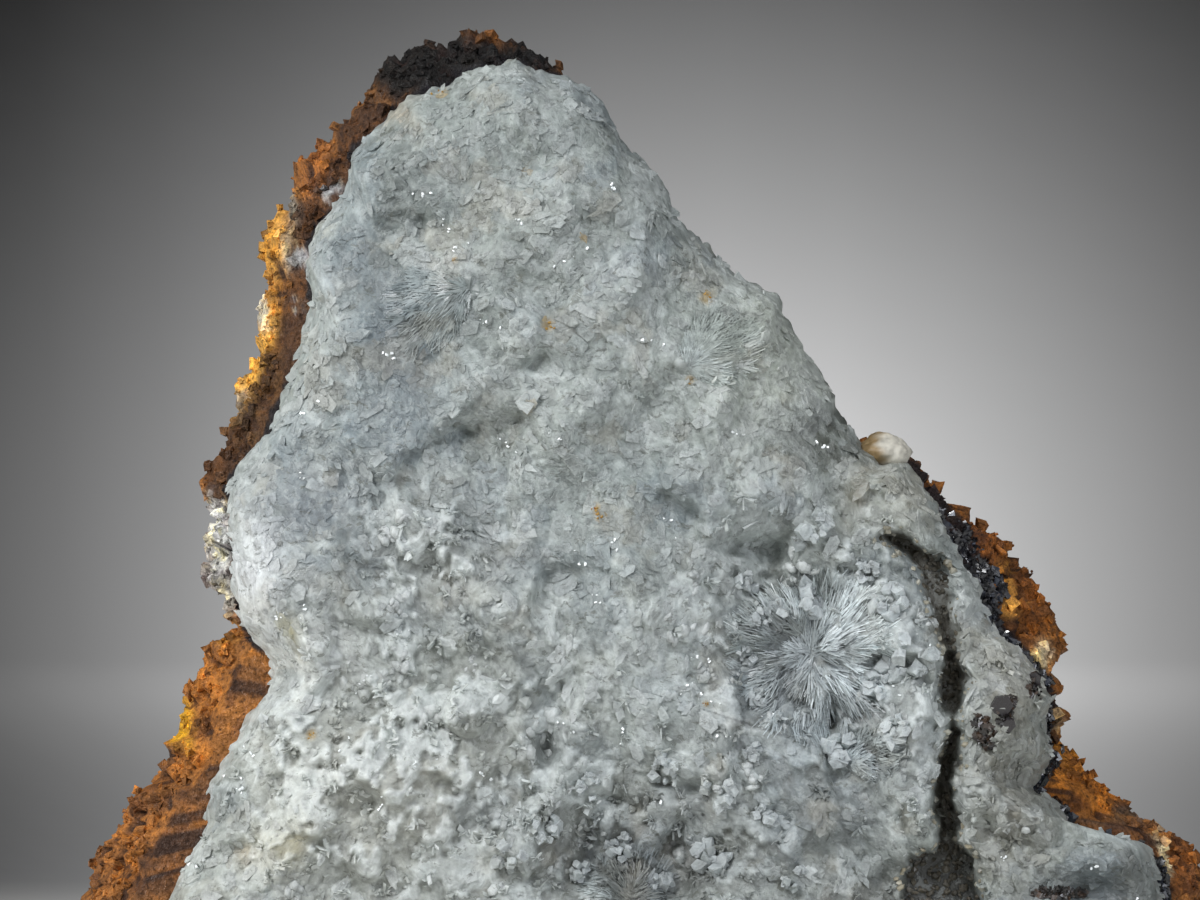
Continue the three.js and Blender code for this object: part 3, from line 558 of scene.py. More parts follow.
def cleftDepth(x, z):
    # distance to the nearest piece of the cleft's middle line, less its half width: 1 inside, 0 outside
    nearest = np.full(np.shape(x), 9.0)
    for (ax, az, ar), (bx, bz, br) in zip(face["cleft"], face["cleft"][1:]):
        ex, ez = bx - ax, bz - az
        t = np.clip(((x - ax) * ex + (z - az) * ez) / (ex * ex + ez * ez), 0, 1)
        away = np.hypot(x - ax - t * ex, z - az - t * ez) - mix(ar, br, t)
        nearest = np.minimum(nearest, away)
    ragged = nearest + 0.35 * lumpNoise(x, 3.0, z, 1.0) + 0.2 * lumpNoise(x, 5.0, z, 0.42)
    return 1 - easeBetween(-0.35, 0.45, ragged)


def faceDepth(x, z):  # the front plane less forward * exp(-distance^2) for each swell, lumps and broad facets
    y = np.full(np.shape(x), face["front"])
    for px, pz, rx, rz, forward in face["swells"]:
        y = y - forward * np.exp(-(((x - px) / rx) ** 2) - ((z - pz) / rz) ** 2)
    return y - 0.45 * lumpNoise(x, 0.0, z, 4.2, 5.5) - facetHeight(x, z, 3.4, 0.42, 0.12)


def cloudlets(x, z):
    # white masses of crystals grown together, 1 to 2 mm across with ragged edges: 1 inside, 0 in the gaps between them
    field = lumpNoise(x, 5.0, z, 2.1) + 0.6 * lumpNoise(x, 5.5, z, 0.95) + 0.4 * lumpNoise(x, 6.0, z, 0.4)
    return easeBetween(0.0, 0.26, field)


def scales(x, z):
    # overlapping ragged scales: a lumpy field cut into steps; gives the height in steps and the place within a step
    field = 2.4 * (lumpNoise(x, 8.0, z, 2.4, 0.4) + 0.5 * lumpNoise(x, 8.5, z, 1.05, 0.7)
                   + 0.32 * lumpNoise(x, 9.0, z, 0.48))
    step = np.floor(field)
    return step + easeBetween(0, 0.22, field - step), field - step


def reliefDepth(x, z):
    # the broad face with facets of about 1.4 mm, scales, cloudlets, grains, lumps, pits and the cleft
    y = faceDepth(x, z)
    loose = looseness(x, z)
    y -= (0.12 + 0.4 * loose) * facetHeight(x, z, 1.45, 0.6, 0.06, 11)
    y -= (0.02 + 0.22 * loose) * facetHeight(x, z, 0.72, 0.6, 0.06, 23)
    y -= (0.06 + 0.06 * loose) * scales(x, z)[0]
    y -= (0.03 + 0.33 * loose) * cloudlets(x, z)
    y -= (0.01 + 0.05 * loose) * lumpNoise(x, 1.0, z, 0.45) + 0.02 * lumpNoise(x, 1.5, z, 0.27)
    for px, pz, r in face["lumps"]:
        inside = np.clip(1 - ((x - px) ** 2 + (z - pz) ** 2) / (r * r), 0, 1)
        y -= 0.7 * r * np.sqrt(inside)
    for px, pz, rx, rz, depth in face["pits"]:
        away = ((x - px) / rx) ** 2 + ((z - pz) / rz) ** 2
        y += depth * np.exp(-away * (1 + 0.5 * lumpNoise(x, 2.0, z, 0.6)))
    return mix(y, np.maximum(y, face["cleftFloor"]), cleftDepth(x, z))


crustRoll = [  # share of the outline and how far the face has rolled back there
    (0.5, 0.0), (0.7, 0.004), (0.8, 0.028), (0.86, 0.06), (0.9, 0.1), (0.93, 0.16), (0.96, 0.27), (0.98, 0.41),
    (0.993, 0.6), (1.0, 0.78),
]


def rollAt(share):  # how far back the face has rolled, read from the list above
    return np.interp(share, [s for s, _ in crustRoll], [r for _, r in crustRoll])


def surfaceDepth(x, z):  # the relief, drawn towards the crust's back by the roll
    return mix(reliefDepth(x, z), face["back"], rollAt(shareAt(crustReach, x, z)))


crustTints = [  # centre x and z, reach in x and z, colour, strength
    (-10.0, 39.0, 3.2, 5.0, "#6e7b83", 0.85), (-10.5, 46.3, 1.7, 3.6, "#5f6866", 0.85),
    (-8.6, 44.5, 0.6, 2.0, "#69716c", 0.6), (-13.4, 31.0, 3.4, 3.3, "#4d5b65", 0.88),
    # (-17.4, 26.5): the pale rolled lip on the left, whitened further as a painted highlight of the light from the left
    (-17.4, 26.5, 2.3, 4.6, "#f1f5f6", 0.9), (-13.9, 43.0, 1.2, 2.5, "#d6dbd8", 0.6),
    (-14.0, 24.0, 2.5, 2.2, "#dfe3df", 0.7), (-13.0, 15.5, 6.0, 5.0, "#dadbd0", 0.7),
    (-8.5, 16.0, 3.4, 3.4, "#d6d8ce", 0.5), (-6.5, 27.0, 2.5, 2.5, "#dfe3de", 0.6),
    # (-6.0, 34.3): painted shade along the row of pits
    (-6.0, 34.3, 3.5, 0.9, "#757b73", 0.7), (-2.5, 45.5, 7.0, 6.5, "#79827d", 0.62),
    (-12.5, 33.0, 2.6, 3.0, "#7c868a", 0.5), (8.5, 38.0, 4.0, 4.6, "#d3d9c9", 0.55),
    # (11.2, 34.0) and (12.2, 31.0): painted shadow on the recess below the edge of the upper mass
    (11.2, 34.0, 2.2, 1.4, "#3c4036", 0.95), (12.2, 31.0, 0.9, 1.8, "#74694f", 0.8),
    # (2.5, 13.5): blue-grey, with painted shade in the bottom hollow
    (11.0, 22.5, 5.5, 5.0, "#bac6cd", 0.72), (2.5, 13.5, 6.0, 3.2, "#374045", 0.92),
    (10.2, 20.9, 0.7, 1.2, "#3f474c", 0.85), (9.3, 24.7, 0.5, 0.6, "#50585d", 0.8),
    (12.6, 24.4, 0.4, 0.7, "#50585d", 0.8), (13.2, 20.2, 1.4, 0.5, "#5d6469", 0.8),
    (4.8, 27.6, 1.2, 0.8, "#6f7774", 0.7), (-9.0, 28.8, 2.6, 2.2, "#98a2a2", 0.6),
    (7.5, 19.2, 2.6, 1.4, "#798184", 0.7), (25.5, 12.6, 3.0, 0.8, "#747974", 0.8),
    # (4.6, 16.5): painted shade in the pit
    (8.0, 27.5, 3.0, 1.0, "#757c77", 0.7), (4.6, 16.5, 1.6, 1.0, "#3b4041", 0.85),
    # (-2.7, 18.8): dark olive, painted shade in the pit
    (-2.7, 18.8, 0.9, 1.3, "#645f4b", 0.9), (12.0, 16.0, 3.2, 3.2, "#747d82", 0.65),
    (20.5, 19.0, 2.2, 5.5, "#8c8a7a", 0.72), (20.5, 24.0, 2.0, 1.5, "#cfcfc2", 0.6),
    (15.0, 30.8, 2.2, 2.0, "#c9cabb", 0.65), (15.6, 21.0, 1.4, 5.0, "#b9bfbd", 0.5),
    # (24.8, 11.2): near-black below the right ledge, partly a dark inclusion and partly painted shadow under the ledge
    (24.8, 11.2, 3.4, 1.6, "#1b1d1a", 0.97), (19.8, 15.2, 2.4, 2.6, "#5d5c50", 0.85),
    (21.0, 22.0, 1.2, 2.0, "#a9a493", 0.5), (-9.7, 50.3, 1.0, 0.8, "#b7a688", 0.6),
    (-15.0, 25.0, 0.5, 0.9, "#a29a6c", 0.8), (-16.0, 14.0, 1.1, 0.9, "#a99f74", 0.7),
    (-17.2, 12.6, 0.8, 0.7, "#b48f3e", 0.4), (9.6, 14.0, 1.5, 1.2, "#666e70", 0.7),
    # (14.0, 10.5): painted shade in the lower cavity
    (14.0, 10.5, 4.0, 2.0, "#4c4e49", 0.85), (19.5, 15.0, 2.5, 2.0, "#a9aca0", 0.5),
    (-4.5, 21.5, 4.0, 3.5, "#c6ccc6", 0.4), (0.0, 24.0, 3.5, 3.0, "#bfc6c2", 0.4),
]
crustBase = "#a5aeaa"
crustShades = {
    "ground": "#8b877a",
    "cloud": "#dce1de",
    "ochre": "#a5853a",
    # the cleft's olive brown, darkened by painted shade
    "shadedCleftFoot": "#2a2822",
    "shadedCleftTop": "#544e41",
    "blade": "#d6dcd8",
    "block": "#d4dad6",
    "clump": "#dfe4e1",
    "chunk": "#c6cecf",
    "glint": "#e6ebea",
}
crustStains = [  # colour, strength, size in millimetres, place in the noise, the noise's range over which it sets in
    ("#d0d6d2", 0.3, 1.3, 11.0, 0.0, 0.7), ("#a89f8a", 0.3, 1.9, 15.0, 0.35, 0.8),
    ("#87949a", 0.5, 3.1, 19.0, 0.25, 0.8), ("#7d827a", 0.4, 0.9, 23.0, 0.45, 0.9),
]
dullBeds = [  # where the clouds stay dark: centre x and z, reach in x and z
    # (24.8, 11.2) and (11.4, 34.0) keep the painted shadows under the ledge and below the step dark
    (2.5, 13.0, 5.5, 3.6), (20.0, 16.0, 2.6, 5.0), (24.8, 11.2, 3.4, 1.8), (11.4, 34.0, 2.2, 1.4),
    (10.5, 17.5, 4.0, 2.6),
]
ochreSpecks = [  # iron-stained specks: centre x and z, radius
    (-3.75, 47.3, 0.2), (-0.85, 44.1, 0.16), (-2.6, 39.7, 0.3), (-0.2, 30.6, 0.25), (0.0, 30.2, 0.25),
    (4.5, 37.0, 0.22),
    (5.25, 41.2, 0.3), (-7.3, 43.0, 0.14), (5.3, 20.8, 0.16), (-14.4, 19.3, 0.25), (-3.6, 35.5, 0.2), (-8.1, 51.3, 0.3),
]


def crustTint(x, z):
    # the base colour, drawn towards each patch's colour by strength * exp(-distance^2)
    wobbleX = x + 0.9 * lumpNoise(x, 7.0, z, 2.2)
    wobbleZ = z + 0.9 * lumpNoise(x, 9.0, z, 2.2)
    tint = np.tile(linearColour(crustBase), (len(x), 1))
    for px, pz, rx, rz, code, strength in crustTints:
        near = strength * np.exp(-(((wobbleX - px) / rx) ** 2) - ((wobbleZ - pz) / rz) ** 2)
        tint = mix(tint, linearColour(code), near[:, None])
    for code, strength, size, offset, low, high in crustStains:
        field = lumpNoise(x, offset, z, size) + 0.55 * lumpNoise(x, offset, z, 0.45 * size) \
            + 0.35 * lumpNoise(x, offset, z, 0.2 * size)
        tint = mix(tint, linearColour(code), (strength * easeBetween(low, high, field))[:, None])
    # white clouds over a darker ground, and scales with painted shade at the foot and a painted highlight along the
    # crest
    loose, cloud = looseness(x, z), cloudlets(x, z)
    within = scales(x, z)[1]
    shadedFoot = np.maximum(easeBetween(0.72, 1.0, within), 1 - easeBetween(0.0, 0.14, within))
    litCrest = easeBetween(0.14, 0.26, within) * (1 - easeBetween(0.3, 0.7, within))
    tint *= (1 - 0.15 * loose * (1 - cloud) - (0.14 + 0.1 * loose) * shadedFoot)[:, None]
    tint = mix(tint, linearColour(crustShades["ground"]), (0.3 * loose * (1 - cloud))[:, None])
    whiteness = ((0.02 + 0.62 * loose) * cloud + 0.12 * litCrest) * (1 - 0.75 * patchField(x, z, dullBeds))
    tint = mix(tint, linearColour(crustShades["cloud"]), np.clip(whiteness, 0, 1)[:, None])
    for px, pz, r in ochreSpecks:
        near = 1 - easeBetween(0.5, 1.5, np.hypot(x - px, z - pz) / r)
        tint = mix(tint, linearColour(crustShades["ochre"]), 0.6 * near[:, None])
    # the cleft is olive brown with painted shade over it, darker towards its foot
    cleft = mix(linearColour(crustShades["shadedCleftFoot"]), linearColour(crustShades["shadedCleftTop"]),
                easeBetween(12.0, 16.0, z)[:, None])
    return mix(tint, cleft, 0.86 * easeBetween(0.35, 0.85, cleftDepth(x, z))[:, None])


def buildCrust():
    # a cushion of rings from the centre to the outline, at the relief's depth, closed by a fan at the back
    sides = 1020
    rimShares = (0.9, 0.916, 0.932, 0.946, 0.958, 0.969, 0.979, 0.987, 0.994, 1.0)
    rim = [(share, float(rollAt(share))) for share in rimShares]
    sections = [(share, roll, sides) for share, roll in rim + [(1.0, 0.9), (0.975, 1.0)]]
    share, roll, corner, faces = cushion(crustReach["dense"], sections, True, False)
    centre = crustReach["centre"]
    place = centre + share[:, None] * (corner - centre)
    x, z = place[:, 0], place[:, 1]
    edge = np.clip((share - 0.8) / 0.2, 0, 1) * (roll < 1)
    # the rim is ragged at the scale of single plates
    outward = (corner - centre) / np.linalg.norm(corner - centre, axis=1)[:, None]
    inside = (share <= sections[0][0]) & (roll < 1)
    back = np.where(inside, rollAt(share), roll)
    y = mix(reliefDepth(x, z), face["back"], back)
    ragged = 0.16 * lumpNoise(x, y, z, 1.1) + 0.24 * lumpNoise(x, y, z, 0.42)
    x, z = x + outward[:, 0] * ragged * edge, z + outward[:, 1] * ragged * edge
    y = mix(reliefDepth(x, z), face["back"], back)
    # on the rolled rim the colours wander by up to a millimetre, so they don't run in bands from front to back
    wander = 1.1 * edge
    tint = crustTint(x + wander * lumpNoise(x, y, z, 1.4, 2.0), z + wander * lumpNoise(x, y, z, 1.4, 6.0))
    return makePiece("angastoniteCrust", np.stack([x, y, z], axis=1), faces, crustMaterial, tint)


stands(buildCrust(), "angastonite_crust")


def scatter(count, weight, margin=0.985):
    # random places inside the outline, kept with a chance that follows weight(x, z)
    x = random.uniform(-25, 30, count * 8)
    z = random.uniform(0.8, 53, count * 8)
    keep = (shareAt(crustReach, x, z) < margin) & (random.random(len(x)) < weight(x, z))
    return x[keep][:count], z[keep][:count]


def unit(vectors):  # vectors divided by their lengths
    return vectors / np.linalg.norm(vectors, axis=-1, keepdims=True)


def onFace(x, z):  # the points of the crust's surface in front of x, z
    return np.stack([x, surfaceDepth(x, z), z], axis=1)


def surfaceNormals(x, z):  # outward normals from the slopes over 0.7 mm, kept from going too steep
    step = 0.35
    slopeX = (surfaceDepth(x + step, z) - surfaceDepth(x - step, z)) / (2 * step)
    slopeZ = (surfaceDepth(x, z + step) - surfaceDepth(x, z - step)) / (2 * step)
    return unit(np.stack([np.clip(slopeX, -1.2, 1.2), -np.ones_like(x), np.clip(slopeZ, -1.2, 1.2)], axis=1))


def axesFor(normal, heading):  # a long axis that follows the heading in the face's plane, then the other two axes
    along = np.stack([np.cos(heading), np.zeros_like(heading), np.sin(heading)], axis=1)
    along = unit(along - normal * np.sum(along * normal, axis=1)[:, None])
    return along, np.cross(normal, along), normal


def axesAlong(along, facing):  # for a crystal that points along a direction and turns its flat side to `facing`
    across = unit(np.cross(facing, along))
    return along, across, np.cross(along, across)


def stamp(shape, shapeFaces, centres, axes, sizes):
    # every copy is centre + sum of axis * size * the shape's own coordinate
    points = centres[:, None, :]
    for axis, size, column in zip(axes, sizes, range(3)):
        points = points + (axis * size[:, None])[:, None, :] * shape[..., column][..., None]
    faces = shapeFaces[None] + (np.arange(len(centres)) * shape.shape[-2])[:, None, None]
    return points.reshape(-1, 3), faces.reshape(-1, 3)


def jittered(shape, count, amount):  # copies of a shape with every corner moved at random
    return shape[None] * (1 + amount * random.uniform(-1, 1, (count, len(shape), 1))) \
        + 0.3 * amount * random.uniform(-1, 1, (count, *shape.shape))


def shapeTints(tint, rootShade, tipShade, shape):
    # the crystal's tint at each corner, from rootShade where it grows from to tipShade at its far end
    reach = (shape[:, 0] - shape[:, 0].min()) / np.ptp(shape[:, 0])
    return (tint[:, None, :] * mix(rootShade, tipShade, reach)[None, :, None]).reshape(-1, 3)


# a flat plate with six corners on each side, a blade with a chisel tip, a rounded block and a three-sided needle
plateShape = np.array([(x, y * 0.5, z) for z in (-0.5, 0.5) for x, y in
                       [(-0.5, 0.25), (-0.38, -0.9), (0.3, -1.0), (0.5, -0.1), (0.28, 0.95), (-0.3, 1.0)]])
plateFaces = np.array([(0, i + 1, i) for i in range(1, 5)] + [(6, 6 + i, 7 + i) for i in range(1, 5)]
                      + [(i, (i + 1) % 6, 6 + i) for i in range(6)]
                      + [((i + 1) % 6, 6 + (i + 1) % 6, 6 + i) for i in range(6)])
bladeShape = np.array([(0, -0.4, -0.5), (0, 0.4, -0.5), (0, 0.4, 0.5), (0, -0.4, 0.5),
                       (0.82, -0.5, -0.35), (1, 0.38, -0.3), (1, 0.34, 0.3), (0.8, -0.46, 0.35)])
bladeFaces = np.array([(0, 2, 1), (0, 3, 2), (4, 5, 6), (4, 6, 7), (0, 1, 5), (0, 5, 4), (1, 2, 6), (1, 6, 5),
                       (2, 3, 7), (2, 7, 6), (3, 0, 4), (3, 4, 7)])
golden = (1 + math.sqrt(5)) / 2
grainShape = np.array([(-1, golden, 0), (1, golden, 0), (-1, -golden, 0), (1, -golden, 0), (0, -1, golden),
                       (0, 1, golden), (0, -1, -golden), (0, 1, -golden), (golden, 0, -1), (golden, 0, 1),
                       (-golden, 0, -1), (-golden, 0, 1)]) / 3.8
grainFaces = np.array([(0, 11, 5), (0, 5, 1), (0, 1, 7), (0, 7, 10), (0, 10, 11), (1, 5, 9), (5, 11, 4), (11, 10, 2),
                       (10, 7, 6), (7, 1, 8), (3, 9, 4), (3, 4, 2), (3, 2, 6), (3, 6, 8), (3, 8, 9), (4, 9, 5),
                       (2, 4, 11),
                       (6, 2, 10), (8, 6, 7), (9, 8, 1)])
boxShape = np.array([(x, y, z) for x in (-0.5, 0.5) for y in (-0.5, 0.5) for z in (-0.5, 0.5)])
boxFaces = np.array([(0, 1, 3), (0, 3, 2), (4, 6, 7), (4, 7, 5), (0, 4, 5), (0, 5, 1), (2, 3, 7), (2, 7, 6), (0, 2, 6),
                     (0, 6, 4), (1, 5, 7), (1, 7, 3)])
needleShape = np.array([(x, r * math.cos(a), r * math.sin(a)) for x, r in ((0.0, 0.5), (1.0, 0.28))
                        for a in (math.pi / 2, math.pi * 7 / 6, math.pi * 11 / 6)])
needleFaces = np.array([(0, 2, 1), (3, 4, 5), (0, 1, 4), (0, 4, 3), (1, 2, 5), (1, 5, 4), (2, 0, 3), (2, 3, 5)])

plates = {"count": 420, "length": (0.3, 1.0), "thickness": (0.1, 0.2)}
flakes = {"count": 7500, "length": (0.25, 1.2), "thickness": (0.04, 0.09), "tilt": 0.08}
rosettes = {"count": 700, "blades": 7, "length": (0.15, 0.5), "width": (0.1, 0.26)}
clumps = {"count": 60, "blocks": 9, "size": (0.45, 1.0), "spread": 0.42, "rise": 0.02}
blocks = {"count": 150, "size": (0.3, 0.9)}
chunks = {  # white lumps of blocks at the sprays and in the dark hollows: centre x and z, radius
    "places": [
        (10.0, 25.7, 1.0), (7.3, 26.8, 0.5), (10.6, 29.5, 0.8), (8.1, 25.0, 0.5), (14.5, 25.8, 0.9), (15.4, 23.0, 1.0),
        (14.0, 21.8, 0.8), (12.0, 18.6, 1.0), (8.0, 21.0, 0.6), (5.9, 16.3, 0.8), (5.5, 13.0, 0.9), (-2.8, 14.6, 0.7),
        (1.2, 13.6, 0.7), (-0.6, 16.7, 0.6), (3.2, 17.6, 0.6), (7.6, 18.4, 0.5), (7.2, 23.2, 0.5), (13.4, 27.4, 0.6),
        (-4.6, 13.2, 0.7), (3.0, 11.6, 0.6), (8.2, 15.2, 0.6), (14.9, 19.4, 0.7), (-1.2, 12.2, 0.5), (9.7, 12.2, 0.6),
    ],
    "blocks": 13,
    "size": (0.45, 1.0),
}
drusy = {"count": 1300, "size": (0.18, 0.5)}
sparkles = {"lines": 70, "flakes": 4, "size": (0.06, 0.22)}


def outOfCleft(x, z):  # a chance of 1 on the face and 0.25 in the cleft
    return 1 - 0.75 * cleftDepth(x, z)


def buildPlates():
    # broad plates sunk most of the way into the calm parts of the face
    x, z = scatter(plates["count"], lambda px, pz: np.clip(1.15 - looseness(px, pz), 0.1, 1) * outOfCleft(px, pz))
    n = len(x)
    normal = unit(surfaceNormals(x, z) + random.normal(0, 0.16, (n, 3)))
    axes = axesFor(normal, random.uniform(0, 2 * math.pi, n))
    length = mix(*plates["length"], random.random(n) ** 1.6)
    thickness = random.uniform(*plates["thickness"], n)
    centres = onFace(x, z) - normal * (random.uniform(0.3, 0.52, n) * thickness)[:, None]
    sizes = (length, length * random.uniform(0.45, 0.95, n), thickness)
    points, faces = stamp(jittered(plateShape, n, 0.28), plateFaces, centres, axes, sizes)
    tint = crustTint(x, z) * random.uniform(0.94, 1.08, n)[:, None]
    return makePiece("angastonitePlates", points, faces, crustMaterial, tint, False)


def buildFlakes():
    # thin ragged flakes nearly flush with the face, most on its calm parts and along its upper and right rim
    # neighbours follow a heading of 2.5 pi * noise, 2 mm wide
    def chance(px, pz):
        calm = 0.75 * np.clip(1.15 - 1.3 * looseness(px, pz), 0.06, 1)
        rim = (shareAt(crustReach, px, pz) > 0.88) * (px > -8) + 0.8 * (px > 18)
        return outOfCleft(px, pz) * np.maximum(calm, rim)

    x, z = scatter(flakes["count"], chance, 0.998)
    n = len(x)
    heading = 2.5 * math.pi * lumpNoise(x, 27.0, z, 2.0) + random.normal(0, 0.5, n)
    normal = unit(surfaceNormals(x, z) + random.normal(0, flakes["tilt"], (n, 3)))
    axes = axesFor(normal, heading)
    length = mix(*flakes["length"], random.random(n) ** 1.7)
    thickness = random.uniform(*flakes["thickness"], n)
    centres = onFace(x, z) - normal * (0.3 * thickness)[:, None]
    sizes = (length, length * random.uniform(0.25, 0.6, n), thickness)
    points, faces = stamp(jittered(plateShape, n, 0.35), plateFaces, centres, axes, sizes)
    tint = crustTint(x, z) * random.uniform(0.94, 1.09, n)[:, None]
    return makePiece("angastoniteFlakes", points, faces, crustMaterial, shapeTints(tint, 0.95, 1.05, plateShape), False)


def buildRosettes():
    # clusters of short blades that spread from one root over half a ball
    x, z = scatter(rosettes["count"], lambda px, pz: np.clip(1.3 * looseness(px, pz) - 0.3, 0, 1) * outOfCleft(px, pz)
                   * (0.25 + 0.75 * (lumpNoise(px, 8.0, pz, 1.6) > -0.1)))
    n, each = len(x), rosettes["blades"]
    normal = np.repeat(surfaceNormals(x, z), each, axis=0)
    along = random.normal(0, 1, (n * each, 3))
    along -= normal * np.sum(along * normal, axis=1)[:, None]
    outward = random.uniform(0.3, 1.3, n * each)[:, None]
    along = unit(unit(along) * outward + normal * random.uniform(0.25, 1, n * each)[:, None])
    size = np.repeat(random.uniform(0.65, 1.25, n), each)
    length = size * mix(*rosettes["length"], random.random(n * each))
    width = size * random.uniform(*rosettes["width"], n * each)
    axes = axesAlong(along, unit(random.normal(0, 1, (n * each, 3))))
    root = np.repeat(onFace(x, z), each, axis=0) + random.normal(0, 0.1, (n * each, 3)) + normal * 0.02
    points, faces = stamp(jittered(bladeShape, n * each, 0.2), bladeFaces, root, axes, (length, width, width * 0.32))
    white = np.repeat(random.uniform(0.0, 0.35, n), each)[:, None]
    white = white * (1 - 0.8 * np.repeat(patchField(x, z, dullBeds), each))[:, None]
    tint = mix(np.repeat(crustTint(x, z), each, axis=0), linearColour(crustShades["blade"]), white) \
        * random.uniform(0.9, 1.1, n * each)[:, None]
    # in the cleft the blades take the crust's tint, with its painted shade
    tint = mix(tint, np.repeat(crustTint(x, z), each, axis=0), cleftDepth(*np.repeat((x, z), each, axis=1))[:, None])
    tint = shapeTints(tint, 0.86, 1.06, bladeShape)
    return makePiece("angastoniteRosettes", points, faces, crystalMaterial, tint, False)


def buildBlocks():
    # rounded translucent blocks around the sprays, in the loose beds and on the right lobe
    x, z = scatter(blocks["count"], lambda px, pz: np.clip(looseness(px, pz) - 0.25, 0, 1) * outOfCleft(px, pz))
    n = len(x)
    normal = unit(surfaceNormals(x, z) + random.normal(0, 0.3, (n, 3)))
    axes = axesFor(normal, random.uniform(0, 2 * math.pi, n))
    size = mix(*blocks["size"], random.random(n) ** 2.6)
    sizes = (size, size * random.uniform(0.6, 0.95, n), size * random.uniform(0.45, 0.8, n))
    centres = onFace(x, z) - normal * (0.12 * size)[:, None]
    points, faces = stamp(jittered(grainShape, n, 0.2), grainFaces, centres, axes, sizes)
    # in the cleft the blocks keep the crust's tint, with its painted shade
    white = random.uniform(0.0, 0.45, n)[:, None] * (1 - cleftDepth(x, z))[:, None]
    tint = mix(crustTint(x, z), linearColour(crustShades["block"]), white)
    return makePiece("angastoniteBlocks", points, faces, crystalMaterial, tint, False)


def buildClumps():
    # white clumps about a millimetre across: angular blocks heaped round a middle, rise * exp(-(away / spread)^2)
    def chance(px, pz):
        inLumps = 0.1 + 0.9 * (lumpNoise(px, 5.0, pz, 2.2) > 0.0)
        return np.clip(1.5 * looseness(px, pz) - 0.5, 0, 1) * (1 - cleftDepth(px, pz)) * inLumps

    x, z = scatter(clumps["count"], chance)
    n, each = len(x), clumps["blocks"]
    size = np.repeat(random.uniform(0.6, 1.35, n), each)
    off = random.normal(0, 1, (2, n * each)) * clumps["spread"] * size
    px, pz = np.repeat(x, each) + off[0], np.repeat(z, each) + off[1]
    away = np.hypot(*off) / (clumps["spread"] * size)
    normal = surfaceNormals(px, pz)
    rise = clumps["rise"] * size * np.exp(-(away**2) / 2) * random.uniform(0.3, 1, n * each) - 0.1 * size
    axes = axesFor(unit(normal + random.normal(0, 0.45, (n * each, 3))), random.uniform(0, 2 * math.pi, n * each))
    length = size * mix(*clumps["size"], random.random(n * each) ** 1.6)
    sizes = (length, length * random.uniform(0.5, 0.95, n * each), length * random.uniform(0.35, 0.7, n * each))
    centres = onFace(px, pz) + normal * rise[:, None]
    points, faces = stamp(jittered(grainShape, n * each, 0.3), grainFaces, centres, axes, sizes)
    white = np.repeat(random.uniform(0.2, 0.7, n), each)[:, None]
    tint = mix(crustTint(px, pz), linearColour(crustShades["clump"]), white)
    tint = tint * random.uniform(0.95, 1.04, n * each)[:, None]
    return makePiece("angastoniteClumps", points, faces, crustMaterial, tint)


def buildChunks():
    # each lump is a heap of blocks: places spread by r * sqrt(random), height 0.2 + 0.4 r * (1 - away^2)
    at = np.repeat(np.array(chunks["places"]), chunks["blocks"], axis=0)
    n = len(at)
    angle, away = random.uniform(0, 2 * math.pi, n), np.sqrt(random.random(n))
    x, z = at[:, 0] + at[:, 2] * away * np.cos(angle), at[:, 1] + at[:, 2] * away * np.sin(angle)
    normal = surfaceNormals(x, z)
    axes = axesFor(unit(normal + random.normal(0, 0.4, (n, 3))), random.uniform(0, 2 * math.pi, n))
    size = at[:, 2] * mix(*chunks["size"], random.random(n) ** 1.4)
    rise = 0.2 + 0.4 * at[:, 2] * (1 - away**2) * random.uniform(0.3, 1, n)
    sizes = (size, size * random.uniform(0.6, 0.95, n), size * random.uniform(0.5, 0.85, n))
    points, faces = stamp(jittered(plateShape, n, 0.3), plateFaces, onFace(x, z) + normal * rise[:, None], axes, sizes)
    tint = mix(crustTint(x, z), linearColour(crustShades["chunk"]), random.uniform(0.35, 0.8, n)[:, None])
    return makePiece("angastoniteChunks", points, faces, crustMaterial, tint, False)


def buildDrusy():
    # small crystals that line the walls of the cleft: pale on the walls, olive brown with painted shade towards the
    # floor
    x, z = scatter(drusy["count"] * 3, lambda px, pz: (cleftDepth(px, pz) > 0.04) * 1.0)
    x, z = x[:drusy["count"]], z[:drusy["count"]]
    n = len(x)
    axes = axesFor(unit(surfaceNormals(x, z) + random.normal(0, 0.5, (n, 3))), random.uniform(0, 2 * math.pi, n))
    size = mix(*drusy["size"], random.random(n) ** 1.6)
    sizes = (size, size * random.uniform(0.6, 1, n), size * random.uniform(0.5, 0.9, n))
    points, faces = stamp(jittered(grainShape, n, 0.25), grainFaces, onFace(x, z) - (0, 0.05, 0), axes, sizes)
    deepShade = easeBetween(0.2, 0.8, cleftDepth(x, z))[:, None]
    wall = mix(linearColour("#b3b2a4"), linearColour("#8d8672"), random.random(n)[:, None])
    tint = mix(wall, linearColour("#3f392e"), 0.9 * ease(deepShade)) * random.uniform(0.7, 1.3, n)[:, None]
    return makePiece("angastoniteDrusy", points, faces, crystalMaterial, tint, False)


